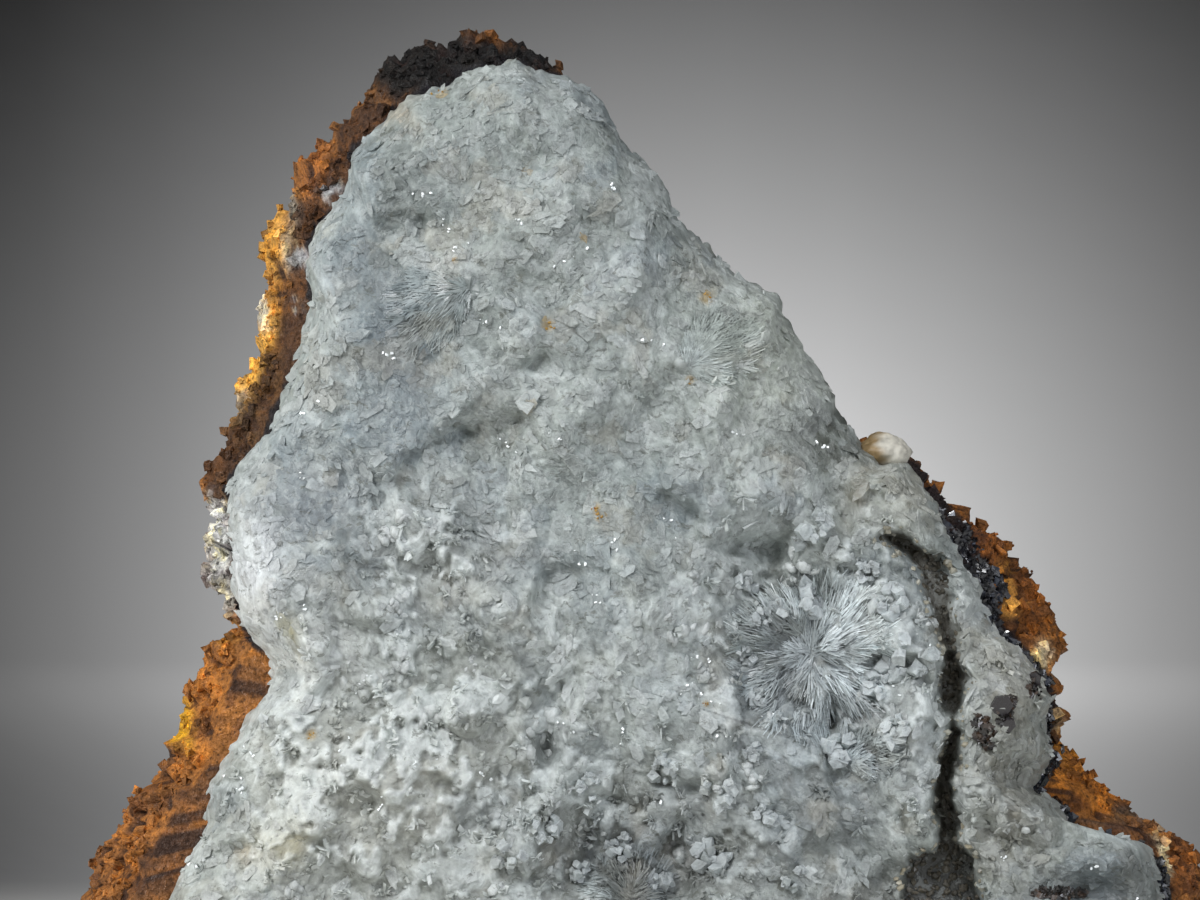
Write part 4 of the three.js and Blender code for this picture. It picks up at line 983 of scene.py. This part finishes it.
def buildSparkles():
    # bright cleavage faces in short lines; each faces half way between the window light and the front
    x, z = scatter(sparkles["lines"], lambda px, pz: outOfCleft(px, pz))
    n, each = len(x), sparkles["flakes"]
    heading = np.repeat(random.uniform(0, 2 * math.pi, n), each)
    step = random.normal(0, 0.4, n * each)
    px = np.repeat(x, each) + step * np.cos(heading) + random.normal(0, 0.1, n * each)
    pz = np.repeat(z, each) + step * np.sin(heading) + random.normal(0, 0.1, n * each)
    normal = unit(np.array([-0.267, -0.914, 0.304]) + random.normal(0, 0.05, (n * each, 3)))
    size = random.uniform(*sparkles["size"], n * each)
    axes = axesFor(normal, random.uniform(0, 2 * math.pi, n * each))
    centres = onFace(px, pz) + normal * 0.06
    sizes = (size, size * 0.6, size * 0.5)
    points, faces = stamp(jittered(plateShape, n * each, 0.2), plateFaces, centres, axes, sizes)
    tint = np.tile(linearColour(crustShades["glint"]), (len(points), 1))
    return makePiece("angastoniteSparkles", points, faces, sparkleMaterial, tint, False)


def buildOchreGrains():
    # five grains of iron ochre in each stained speck, spread by half its radius
    at = np.repeat(np.array(ochreSpecks), 5, axis=0)
    n = len(at)
    x, z = at[:, 0] + random.normal(0, 0.5, n) * at[:, 2], at[:, 1] + random.normal(0, 0.5, n) * at[:, 2]
    axes = axesFor(unit(random.normal(0, 1, (n, 3))), random.uniform(0, 2 * math.pi, n))
    size = random.uniform(0.3, 0.75, n) * at[:, 2]
    sizes = (size, size * 0.8, size * 0.6)
    points, faces = stamp(jittered(grainShape, n, 0.2), grainFaces, onFace(x, z) - (0, 0.02, 0), axes, sizes)
    tint = mix(linearColour("#b38d3e"), linearColour("#8a4f14"), random.random(n)[:, None] ** 3)
    return makePiece("ironOchreGrains", points, faces, crystalMaterial, tint, False)


for piece in (buildPlates(), buildFlakes(), buildRosettes(), buildClumps(), buildBlocks(), buildChunks(), buildDrusy(),
              buildSparkles(), buildOchreGrains()):
    stands(piece, "angastonite_crust")


# A cream knob of earthy phosphate sits at the right shoulder.
knob = {"at": (14.35, 1.2, 33.4), "radii": (1.35, 1.6, 0.95), "columns": 60, "rows": 36}


def buildKnob():
    # a lumpy ball: radius 1 + 0.14 coarse noise + 0.05 fine noise, times the three radii
    lap, climb = np.meshgrid(np.arange(knob["columns"]) / knob["columns"], np.arange(1, knob["rows"]) / knob["rows"])
    turn, rise = 2 * math.pi * lap.ravel(), math.pi * (climb.ravel() - 0.5)
    ball = np.stack([np.cos(turn) * np.cos(rise), np.sin(turn) * np.cos(rise), np.sin(rise)], axis=1)
    ball = np.vstack([ball, [(0, 0, -1), (0, 0, 1)]])
    x, y, z = ball.T * 2
    scale = 1 + 0.14 * lumpNoise(x, y, z, 1.1) + 0.05 * lumpNoise(x, y, z, 0.35)
    points = np.array(knob["at"]) + ball * scale[:, None] * knob["radii"]
    sides, rows = knob["columns"], knob["rows"] - 1
    i = np.arange(sides)
    faces = [bandFaces(r * sides, (r + 1) * sides, sides)[:, ::-1] for r in range(rows - 1)]
    faces.append(np.stack([np.full(sides, rows * sides), (i + 1) % sides, i], axis=1))
    top = (rows - 1) * sides
    faces.append(np.stack([top + i, top + (i + 1) % sides, np.full(sides, rows * sides + 1)], axis=1))
    yellow = 1 - easeBetween(-0.8, 0.4, x + 0.6 * lumpNoise(x, y, z, 0.9, 3.0))[:, None]
    tint = mix(linearColour("#d0ccbe"), linearColour("#8a6a2c"), 0.85 * yellow)
    # the underside darkened as painted shade
    tint = mix(tint, linearColour("#4a4236"), 0.7 * easeBetween(0.3, 0.9, -ball[:, 2])[:, None])
    return makePiece("phosphateKnob", points, np.vstack(faces), crystalMaterial, tint)


stands(buildKnob(), "angastonite_crust")

sprays = [  # centre x and z, radius, dome height, direction and half spread in degrees, needles
    {"node": "minyulite_spray_main", "at": (10.6, 23.3), "radius": 4.9,
     "dome": 0.9, "heading": 0, "spread": 180, "needles": 4200, "width": (0.035, 0.095), "contrast": 0.75},
    {"node": "minyulite_fan_upper_right", "at": (4.3, 37.6), "radius": 4.7,
     "dome": 0.6, "heading": 32, "spread": 62, "needles": 1900, "width": (0.03, 0.075), "contrast": 0.2},
    {"node": "minyulite_fan_lower_right", "at": (12.2, 17.9), "radius": 3.2,
     "dome": 0.6, "heading": 15, "spread": 60, "needles": 1100, "width": (0.04, 0.1), "contrast": 0.8},
    {"node": "minyulite_fan_upper_left", "at": (-6.6, 41.6), "radius": 4.9,
     "dome": 0.5, "heading": 205, "spread": 62, "needles": 1700, "width": (0.03, 0.075), "contrast": 0.2},
    {"node": "minyulite_spray_bottom", "at": (1.5, 11.0), "radius": 3.0,
     "dome": 0.7, "heading": 0, "spread": 180, "needles": 1300, "width": (0.04, 0.1), "contrast": 0.8},
]


def fanReach(spray, degrees):  # the full radius inside the fan's spread, a stub outside it
    off = np.abs((degrees - spray["heading"] + 540) % 360 - 180)
    inside = np.clip(1.25 - off / spray["spread"], 0, 1) if spray["spread"] < 180 else np.ones_like(off)
    return spray["radius"] * mix(0.22, 1.0, ease(inside)) * 0.92


def domeDepth(spray, x, z):  # the crust's face, raised by a third of dome * (1 - share^2)
    dx, dz = x - spray["at"][0], z - spray["at"][1]
    share = np.hypot(dx, dz) / fanReach(spray, np.degrees(np.arctan2(dz, dx)))
    return surfaceDepth(x, z) - 0.35 * spray["dome"] * np.clip(1 - share**2, 0, 1)


def buildSpray(spray):
    # a low dome of rings, closed by a root, with needles that lean out from its centre
    sides, rings = 60, 12
    turn = 2 * math.pi * np.arange(sides) / sides
    reach = fanReach(spray, np.degrees(turn)) * 0.86
    share = np.concatenate([np.zeros(1), np.repeat(np.arange(1, rings + 1) / rings, sides)])
    angle = np.concatenate([np.zeros(1), np.tile(turn, rings)])
    radius = share * np.concatenate([np.zeros(1), np.tile(reach, rings)])
    x, z = spray["at"][0] + radius * np.cos(angle), spray["at"][1] + radius * np.sin(angle)
    top = np.stack([x, domeDepth(spray, x, z) + 0.3 * share**6, z], axis=1)
    root = np.array([(spray["at"][0], top[0, 1] + 1.2, spray["at"][1])])
    i = np.arange(sides)
    domeFaces = [np.stack([np.zeros(sides, int), 1 + i, 1 + (i + 1) % sides], axis=1)]
    domeFaces += [bandFaces(1 + r * sides, 1 + (r + 1) * sides, sides) for r in range(rings - 1)]
    last = 1 + (rings - 1) * sides
    domeFaces.append(np.stack([last + i, np.full(sides, len(top)), last + (i + 1) % sides], axis=1))
    domeTint = np.vstack([crustTint(x, z), crustTint(x[:1], z[:1])]) * 0.8

    # needles stand in bundles of six that share a start and a heading
    each = 6
    bundles = spray["needles"] // each
    count = bundles * each
    spread = min(spray["spread"], 180)
    turns = spray["heading"] + random.uniform(-spread, spread, bundles)
    starts = fanReach(spray, turns) * random.random(bundles) ** 0.65 * 0.86
    degrees, start = np.repeat(turns, each), np.repeat(starts, each) + random.normal(0, 0.12, count)
    limit = fanReach(spray, degrees)
    start = np.clip(start, 0, 0.9 * limit)
    length = limit * np.repeat(random.uniform(0.07, 0.26, bundles), each) * random.uniform(0.7, 1.1, count)
    length = np.minimum(length, limit * 1.08 - start)
    heading = np.radians(degrees + np.repeat(random.normal(0, 13, bundles), each) + random.normal(0, 3, count))
    aside = random.normal(0, 0.13, count)
    px = spray["at"][0] + start * np.cos(np.radians(degrees)) - aside * np.sin(heading)
    pz = spray["at"][1] + start * np.sin(np.radians(degrees)) + aside * np.cos(heading)
    along, across, normal = axesFor(surfaceNormals(px, pz), heading)
    contrast = spray["contrast"]
    along = unit(along + normal * (contrast * np.repeat(random.uniform(-0.02, 0.12, bundles), each))[:, None])
    width = random.uniform(*spray["width"], count)
    lift = np.repeat(random.uniform(-0.02, 0.1, bundles), each) * contrast
    centres = np.stack([px, domeDepth(spray, px, pz) - 0.01 - lift, pz], axis=1)
    points, faces = stamp(needleShape, needleFaces, centres, axesAlong(along, -normal), (length, width, width))
    sheaf = 1 + contrast * (0.1 * np.sin(np.radians(degrees) * 9 + 2 * lumpNoise(px, 0.0, pz, 1.5))
                            + np.repeat(random.uniform(-0.2, 0.4, bundles), each) + random.uniform(-0.05, 0.15, count))
    needleTint = crustTint(px, pz) * sheaf[:, None] * linearColour("#fbfdff")
    allFaces = np.vstack([*domeFaces, faces + len(top) + 1])
    tint = np.vstack([domeTint, shapeTints(needleTint, 0.85, 1.12, needleShape)])
    name = "minyulite" + spray["node"].replace("_", " ").title().replace(" ", "").replace("Minyulite", "")
    return makePiece(name, np.vstack([top, root, points]), allFaces, needleMaterial, tint, False)


for spray in sprays:
    stands(buildSpray(spray), spray["node"])

rock = {
    "front": 1.0,
    "widest": 4.8,
    "depth": 17.5,
    "middle": np.array([1.5, 4.0, 20.0]),
    "fractures": [  # outward direction and distance from the middle
        ((0.1, 0.95, 0.1), 14.8), ((-0.5, 0.8, 0.2), 18.6), ((0.6, 0.75, 0.15), 21.0), ((-0.15, 0.82, 0.5), 21.5),
        ((0.4, 0.6, 0.6), 23.0), ((-0.75, 0.62, -0.1), 27.5),
    ],
    "sections": np.array([  # share of the outline and place from the front, 0, past the widest line, 1, to the back
        (0.9, 0.06), (0.96, 0.4), (0.99, 0.75), (1, 1), (0.995, 1.15), (0.98, 1.32), (0.955, 1.5), (0.915, 1.68),
        (0.85, 1.84),
        (0.76, 1.95),
    ]),
}


def rockPoints(share, along, corner):
    # the block's main form, pushed in and out by lumps, ledges and facets, cut by fractures, then grained
    centre = rockReach["centre"]
    place = centre + share[:, None] * (corner - centre)
    thickness = mix(1.14, 0.5, np.clip(place[:, 1] / specimen["height"], 0, 1))
    inFront = mix(rock["front"], rock["widest"], along)
    behind = rock["widest"] + (along - 1) * rock["depth"] * thickness
    points = np.stack([place[:, 0], np.where(along <= 1, inFront, behind), place[:, 1]], axis=1)
    x, y, z = points.T
    outward = points - rock["middle"]
    outward /= np.linalg.norm(outward, axis=1)[:, None]
    coarse, fine = lumpNoise(x, y, z, 6.5, 3.7), lumpNoise(x, y, z, 2.6, 9.1)
    step = z / 7 + 0.25 * lumpNoise(x, y, 0.0, 8, 1.3)
    ledges = ease(step - np.floor(step))
    bare = np.clip(along - 0.85, 0, 1)
    edge = ease(np.clip(along / 0.5, 0, 1))
    push = edge * (0.15 * coarse + 0.2 * fine) + bare * (1.0 * coarse + 0.4 * fine + 0.9 * ledges
                                                         + facetHeight(x, z, 7.5, 0.5, 0.03) - 0.5)
    points += outward * push[:, None]
    for facing, distance in rock["fractures"]:
        normal = np.array(facing) / np.linalg.norm(facing)
        past = (points - rock["middle"]) @ normal - distance
        points -= np.clip(past, 0, None)[:, None] * normal
    # facets of 1 to 3 mm, grains and pores of the broken surface
    x, y, z = points.T
    facets = facetHeight(x + 0.7 * y, z, 2.4, 0.75, 0.02, 41) + facetHeight(x + 0.7 * y, z, 1.1, 0.8, 0.03, 57)
    ridge = 1 - np.abs(lumpNoise(x, y, z, 3.1, 2.2))
    pores = easeBetween(0.12, 0.6, lumpNoise(x, y, z, 0.62, 6.0) + 0.35 * lumpNoise(x, y, z, 0.31, 1.0))
    grains = 0.13 * lumpNoise(x, y, z, 0.5) + 0.09 * lumpNoise(x, y, z, 0.27)
    detail = 0.75 * facets + 0.25 * (ridge - 0.6) + grains - 0.42 * pores
    return points + outward * (edge * detail)[:, None], pores


rockBase = "#8f5c2b"
rockTints = [  # centre x and z, reach in x and z, colour, strength
    # (-8.5, 52.9) and (-4.5, 53.4): the top cap, dark brown rock with painted shade over it
    (-8.5, 52.9, 4.6, 1.9, "#0d0907", 1.0), (-4.5, 53.4, 3.0, 1.2, "#0b0807", 1.0),
    # (-18.0, 39.0) and (-16.7, 44.8): the golden outer band on the left, orange-yellow rock brightened as painted light
    # from the left
    (-12.0, 50.2, 2.2, 2.0, "#6a4a2c", 0.7), (-18.0, 39.0, 1.7, 6.5, "#cd9a47", 0.95),
    (-16.7, 44.8, 1.2, 3.5, "#cf9743", 0.9), (-14.4, 47.6, 1.0, 2.0, "#a8672c", 0.7),
    (-17.3, 40.9, 0.5, 0.9, "#efe6d2", 0.9), (-15.6, 43.6, 0.5, 1.4, "#b3ab9b", 0.8),
    (-15.3, 45.2, 0.4, 1.0, "#8a8173", 0.8), (-13.6, 46.7, 0.8, 0.4, "#e3e6e6", 0.95),
    (-15.0, 42.9, 0.5, 0.5, "#dfe2e2", 0.95), (-15.2, 40.6, 0.3, 0.5, "#d5d5d8", 0.9),
    (-18.3, 36.0, 0.5, 1.0, "#a79a84", 0.7), (-19.2, 33.5, 1.2, 2.0, "#8a6038", 0.8),
    (-17.6, 34.6, 0.7, 0.9, "#a88b60", 0.8), (-19.4, 29.0, 1.0, 2.6, "#d6d6d2", 0.95),
    (-19.0, 26.0, 0.9, 1.6, "#b9b5ac", 0.9), (-18.9, 24.2, 0.6, 0.7, "#dca02e", 0.9),
    (-20.5, 21.0, 4.0, 4.0, "#a3672a", 0.8), (-21.4, 19.6, 0.7, 1.2, "#efb21f", 0.95),
    (-20.0, 15.0, 1.6, 1.1, "#3a2114", 0.85), (-23.5, 13.0, 3.0, 3.0, "#9c632c", 0.8),
    (-22.3, 11.4, 1.6, 1.2, "#3f2616", 0.8), (-26.0, 7.0, 3.0, 4.0, "#8d5b2a", 0.6),
    (19.5, 29.0, 1.6, 2.0, "#8a5220", 0.8), (21.5, 26.0, 1.6, 2.2, "#7a4717", 0.8),
    (20.6, 26.4, 0.5, 1.6, "#c98f3e", 0.8), (22.4, 22.6, 0.6, 1.3, "#dcc9a2", 0.95),
    (23.0, 19.8, 0.6, 0.7, "#b3946a", 0.95), (23.4, 18.0, 0.8, 0.8, "#c98428", 0.8),
    (24.8, 16.3, 2.2, 1.3, "#b36f27", 0.8), (27.0, 14.8, 1.6, 0.8, "#5e4a3a", 0.7),
    (29.6, 12.5, 1.2, 1.5, "#7c4a20", 0.7), (28.4, 12.8, 0.3, 1.0, "#d9cba6", 0.9),
]


def rockTint(points, pores):
    # the base colour, drawn towards each patch's colour, then specks, pores, the lining's painted shade and the black
    # skin
    x, y, z = points.T
    tint = np.tile(linearColour(rockBase), (len(x), 1))
    shift = 0.7 * lumpNoise(x, y, z, 1.6, 4.4) + 0.3 * lumpNoise(x, y, z, 0.6, 7.4)
    nearFront = 1 - easeBetween(7.0, 11.0, y)
    for px, pz, rx, rz, code, strength in rockTints:
        near = strength * np.exp(-(((x + 0.5 * shift - px) / rx) ** 2) - ((z - shift - pz) / rz) ** 2) * nearFront
        tint = mix(tint, linearColour(code), easeBetween(0.05, 0.75, near)[:, None])
    # ochre and dark patches over the hidden sides
    speck = lumpNoise(x, y, z, 0.45, 3.0) + 0.6 * lumpNoise(x, y, z, 1.3, 3.0)
    tint *= (1 + 0.32 * speck)[:, None]
    patch = lumpNoise(x, y, z, 7.0, 8.0) + 0.4 * lumpNoise(x, y, z, 2.3, 2.0)
    tint = mix(tint, linearColour("#b97c34"), (0.6 * easeBetween(0.1, 0.6, patch) * (1 - nearFront))[:, None])
    tint = mix(tint, linearColour("#38251a"), (0.7 * easeBetween(0.15, 0.6, -patch) * (1 - nearFront))[:, None])
    tint = mix(tint, linearColour("#26130c"), (0.85 * pores)[:, None])
    outside = beyond(crustReach, x, z) + 0.3 * lumpNoise(x, y, z, 1.1) + 0.15 * lumpNoise(x, y, z, 0.45)
    # the smooth brown lining of the left rim, between the crust and the golden outside, darkened as painted shade
    shadedLining = (1 - easeBetween(1.3, 1.9, outside)) * (x < -8) * (z > 31) * (z < 51) * nearFront
    white = easeBetween(0.25, 0.4, tint.min(axis=1))
    tint = mix(tint, linearColour("#4c2f18"), (0.9 * shadedLining * (1 - 0.7 * white))[:, None])
    # a black skin where the rock meets the crust: thick on the right, a thin line on the left
    skin = np.where(x > 12, np.where(z > 26, 1.1, 0.6), 0.35)
    black = (1 - easeBetween(0.6, 1.05, outside / skin)) * (1 - easeBetween(4.5, 7.0, y)) * (1 - 0.8 * white)
    return mix(tint, linearColour("#16141a"), 0.96 * black[:, None])


def rockSections(along):  # the share of the outline at each place along the sections
    return np.interp(along, rock["sections"][:, 1], rock["sections"][:, 0])


rockMesh = {"rimRings": 30, "backRings": 38, "rimSides": 1188}
rockGrains = {"count": 6500, "size": (0.12, 0.5)}  # the smallest grain, and how much larger the largest is
oxideSkin = {"tries": 30000, "count": 1500, "size": (0.12, 0.45)}


def buildRock():
    # the rim that the photograph's side shows is twice as fine as the back
    front = 0.06 + 0.98 * np.linspace(0, 1, rockMesh["rimRings"])
    back = 1.04 + 0.91 * np.linspace(0, 1, rockMesh["backRings"])[1:]
    along = np.concatenate([front, back])
    sides = np.where(along <= front[-1], rockMesh["rimSides"], rockMesh["rimSides"] // 2)
    sections = list(zip(rockSections(along), along, sides.tolist()))
    share, place, corner, faces = cushion(rockReach["dense"], sections, False, True)
    points, pores = rockPoints(share, place, corner)
    return makePiece("limoniteRock", points, faces, rockMaterial, rockTint(points, pores))


def buildRockGrains():
    # goethite and clay grains that stand on the rock's rim and sides, most of them in front
    count = rockGrains["count"]
    along = 0.3 + 1.5 * random.random(count) ** 1.7
    points, pores = rockPoints(rockSections(along), along, alongOutline(rockReach["dense"], random.random(count)))
    keep = (points[:, 2] > 0.6) & (pores < 0.5)
    points, pores = points[keep], pores[keep]
    n = len(points)
    size = rockGrains["size"][0] + rockGrains["size"][1] * random.random(n) ** 2.5
    axes = axesFor(unit(random.normal(0, 1, (n, 3))), random.uniform(0, 2 * math.pi, n))
    out, faces = stamp(jittered(boxShape, n, 0.35), boxFaces, points, axes,
                       (size, size * random.uniform(0.4, 1, n), size * random.uniform(0.4, 1, n)))
    tint = rockTint(points, pores) * random.uniform(0.6, 1.7, n)[:, None]
    return makePiece("limoniteGrains", out, faces, rockMaterial, tint, False)


def buildOxideSkin():
    # black sparkling grains along the right contact, between the crust and the brown rock
    x, z = random.uniform(12, 30, oxideSkin["tries"]), random.uniform(1, 34, oxideSkin["tries"])
    outside = beyond(crustReach, x, z)
    wide = np.where(z > 26, 1.0, 0.5) * (1 + 0.5 * lumpNoise(x, 0.0, z, 2.0))
    keep = (outside > -0.25) & (outside < wide) & (shareAt(rockReach, x, z) < 0.99)
    x, z = x[keep][:oxideSkin["count"]], z[keep][:oxideSkin["count"]]
    n = len(x)
    along = np.interp(shareAt(rockReach, x, z), rock["sections"][:4, 0], rock["sections"][:4, 1])
    y = mix(rock["front"], rock["widest"], along) - 0.2
    size = random.uniform(*oxideSkin["size"], n)
    axes = axesFor(unit(random.normal(0, 1, (n, 3))), random.uniform(0, 2 * math.pi, n))
    sizes = (size, size * 0.8, size * 0.6)
    points, faces = stamp(jittered(boxShape, n, 0.3), boxFaces, np.stack([x, y, z], axis=1), axes, sizes)
    tint = mix(linearColour("#100f12"), linearColour("#3a3f4a"), random.random(n)[:, None] ** 4)
    return makePiece("manganeseOxideSkin", points, faces, darkMaterial, tint, False)


def buildOxideInclusions():
    # black drusy grains in the right lobe: centre x and z, radii, turn in degrees, how many
    groups = [(19.2, 19.4, 0.45, 0.9, 25, 110), (20.3, 20.6, 0.35, 0.8, -30, 40), (21.8, 21.5, 0.35, 0.55, 10, 40),
              (23.0, 11.3, 1.4, 0.3, 0, 90)]
    parts = []
    for gx, gz, rx, rz, turn, count in groups:
        angle, r = random.uniform(0, 2 * math.pi, count), np.sqrt(random.random(count))
        dx, dz = r * rx * np.cos(angle), r * rz * np.sin(angle)
        c, s = math.cos(math.radians(turn)), math.sin(math.radians(turn))
        parts.append(np.stack([gx + dx * c - dz * s, gz + dx * s + dz * c], axis=1))
    x, z = np.concatenate(parts).T
    n = len(x)
    size = random.uniform(0.14, 0.4, n)
    axes = axesFor(unit(random.normal(0, 1, (n, 3))), random.uniform(0, 6.3, n))
    sizes = (size, size * 0.8, size * 0.6)
    points, faces = stamp(jittered(boxShape, n, 0.3), boxFaces, onFace(x, z) - (0, 0.03, 0), axes, sizes)
    tint = mix(linearColour("#15120f"), linearColour("#4a3626"), random.random(n)[:, None] ** 3)
    # and the broad faces of two brown crystals
    places = np.array([(20.0, 20.6), (20.35, 19.7), (21.8, 21.9)])
    at = onFace(*places.T) - (0, 0.12, 0)
    facing = unit(np.array([(0.12, -1, -0.3), (0.05, -1, -0.4), (-0.1, -1, -0.25)]))
    plateAxes = axesFor(facing, np.radians([62, 55, 80]))
    more, moreFaces = stamp(np.repeat(plateShape[None], 3, axis=0), plateFaces, at, plateAxes,
                            (np.array([1.5, 1.0, 1.0]), np.array([1.0, 0.6, 0.7]), np.array([0.3, 0.3, 0.3])))
    faces = np.vstack([faces, moreFaces + len(points)])
    tint = np.vstack([np.repeat(tint, len(boxShape), axis=0), np.tile(linearColour("#1e181b"), (len(more), 1))])
    return makePiece("manganeseOxideInclusions", np.vstack([points, more]), faces, darkMaterial, tint, False)


for piece in (buildRock(), buildRockGrains(), buildOxideSkin()):
    stands(piece, "limonite_matrix")
stands(buildOxideInclusions(), "angastonite_crust")

stage = {
    "floor": 1.3,  # radius of the flat floor in metres
    "bend": 0.7,
    "top": 2.6,
    "paleColour": "#dad9d5",
    "greyColour": "#5a5a5b",
    "pale": (0.16, 0.34),  # the floor turns from pale to the paper's own grey between these radii
    # a pool of light painted on the paper: pale grey behind the specimen, darkening evenly with the distance from it,
    # measured on an upright screen through the face, for lines drawn from a point 600 mm in front
    "paintedPoolAt": (4.0, 25.0),
    "paintedPoolFrom": (-605.5, 33.5),
    "paintedPoolGrey": (0.98, 0.0175),
    "darkest": 0.12,
    # the lamp's share of the light by depth; the painted pool is divided by it, so it is paler where the lamp is weak
    "lampShare": [(0.34, 0.74), (0.7, 1.26), (1.0, 1.35), (1.3, 1.2), (1.43, 1.07), (1.56, 0.86), (1.68, 0.73)],
}


def paperWithPaintedPool(x, y, z):
    # painted pool of light: sRGB grey = middle - fall * distance on the screen, divided by the lamp's share, so the
    # paint makes up for its light being weaker at both ends
    stretch = (-5.5 - stage["paintedPoolFrom"][0]) / np.maximum(y - stage["paintedPoolFrom"][0], 300)
    screenX, screenZ = x * stretch, stage["paintedPoolFrom"][1] + (z - stage["paintedPoolFrom"][1]) * stretch
    away = np.hypot(screenX - stage["paintedPoolAt"][0], screenZ - stage["paintedPoolAt"][1])
    grey = np.clip(stage["paintedPoolGrey"][0] - stage["paintedPoolGrey"][1] * away, stage["darkest"], 1)
    share = np.polyval(np.polyfit(*np.array(stage["lampShare"]).T, 4), np.clip(y * mm, 0.34, 1.68))
    return np.minimum(toLinear(grey) / share, 0.95)


def buildStage():
    # a profile turned round the vertical axis: a flat floor, a quarter circle and a wall
    bend = np.linspace(0, math.pi / 2, 48)[1:]
    wall = stage["floor"] + stage["bend"]
    radius = np.concatenate([np.linspace(0.02, stage["floor"], 60), stage["floor"] + stage["bend"] * np.sin(bend),
                             [wall] * 4])
    height = np.concatenate([np.zeros(60), stage["bend"] * (1 - np.cos(bend)),
                             np.linspace(stage["bend"], stage["top"], 5)[1:]])
    sides = 480
    angle = 2 * math.pi * np.arange(sides) / sides
    points = np.stack([np.outer(radius, np.cos(angle)), np.outer(radius, np.sin(angle)),
                       np.repeat(height[:, None], sides, axis=1)], axis=2).reshape(-1, 3)
    points = np.vstack([points, [(0, 0, 0)]])
    rows = [bandFaces(r * sides, (r + 1) * sides, sides) for r in range(len(radius) - 1)]
    i = np.arange(sides)
    rows.append(np.stack([np.full(sides, len(points) - 1), i, (i + 1) % sides], axis=1))
    material, tree, shader, place, tint = newMaterial("matt studio paper")
    feed(tree, shader, {"Base Color": tint, "Roughness": 1.0, "Specular IOR Level": 0.0})
    away = easeBetween(*stage["pale"], np.hypot(points[:, 0], points[:, 1]))[:, None]
    behind = easeBetween(0.1, 0.3, points[:, 1])[:, None]
    places = points / mm + (specimen["middleX"], specimen["middleY"], 0)
    # behind the specimen the paper carries the painted pool of light
    paper = mix(linearColour(stage["greyColour"]), paperWithPaintedPool(*places.T)[:, None], behind)
    paper = mix(linearColour(stage["paleColour"]), paper, away)
    return makePiece("studioStage", places, np.vstack(rows), material, paper)


buildStage()


def addLight(name, place, aim, watts, size, colour="#ffffff", spread=180):
    # a round lamp of `size` metres that looks along the line from its place to its aim
    light = bpy.data.lights.new(name, "AREA")
    light.shape, light.size, light.energy = "DISK", size, watts
    light.color, light.spread = linearColour(colour), math.radians(spread)
    lamp = bpy.data.objects.new(name, light)
    lamp.location = place
    lamp.rotation_euler = (Vector(aim) - Vector(place)).to_track_quat("-Z", "Y").to_euler()
    lamp.visible_camera = False
    bpy.context.scene.collection.objects.link(lamp)


lightAim = (0.0, -0.01, 0.03)
addLight("key", (-0.5, -0.7, 0.6), lightAim, 6.8, 0.45, "#fbfcff")
addLight("fill", (0.6, -0.9, 0.3), lightAim, 5.0, 0.7, "#f1f5ff")
addLight("left edge", (-0.8, -0.05, 0.25), lightAim, 3.2, 0.3, "#fafbf9")
addLight("sparkle", (-0.1, -0.9, 0.9), lightAim, 1.5, 0.05)
addLight("paper", (0.02, 1.05, 1.5), (0.02, 1.05, 0.0), 4.2, 0.3, spread=64)

world = bpy.data.worlds.new("studio air")
bpy.context.scene.world = world
world.use_nodes = True
feed(world.node_tree, world.node_tree.nodes["Background"], {"Color": (1, 1, 1, 1), "Strength": 0.42})

view = {
    "frameWidth": 60.0,  # millimetres across the picture at the crystal face
    "frameMiddle": 33.5,  # height of the picture's middle
    "faceY": -5.5,
    "distance": 600.0,
    "sensor": 36.0,
    "clip": (0.05, 20.0),  # metres
}
camera = bpy.data.objects.new("camera", bpy.data.cameras.new("camera"))
camera.data.sensor_width = view["sensor"]
camera.data.lens = view["sensor"] * view["distance"] / view["frameWidth"]
camera.data.clip_start, camera.data.clip_end = view["clip"]
camera.location = (-specimen["middleX"] * mm, (view["faceY"] - specimen["middleY"] - view["distance"]) * mm,
                   view["frameMiddle"] * mm)
camera.rotation_euler = (math.pi / 2, 0, 0)
bpy.context.scene.collection.objects.link(camera)
bpy.context.scene.camera = camera
bpy.context.scene.view_settings.view_transform = "Standard"
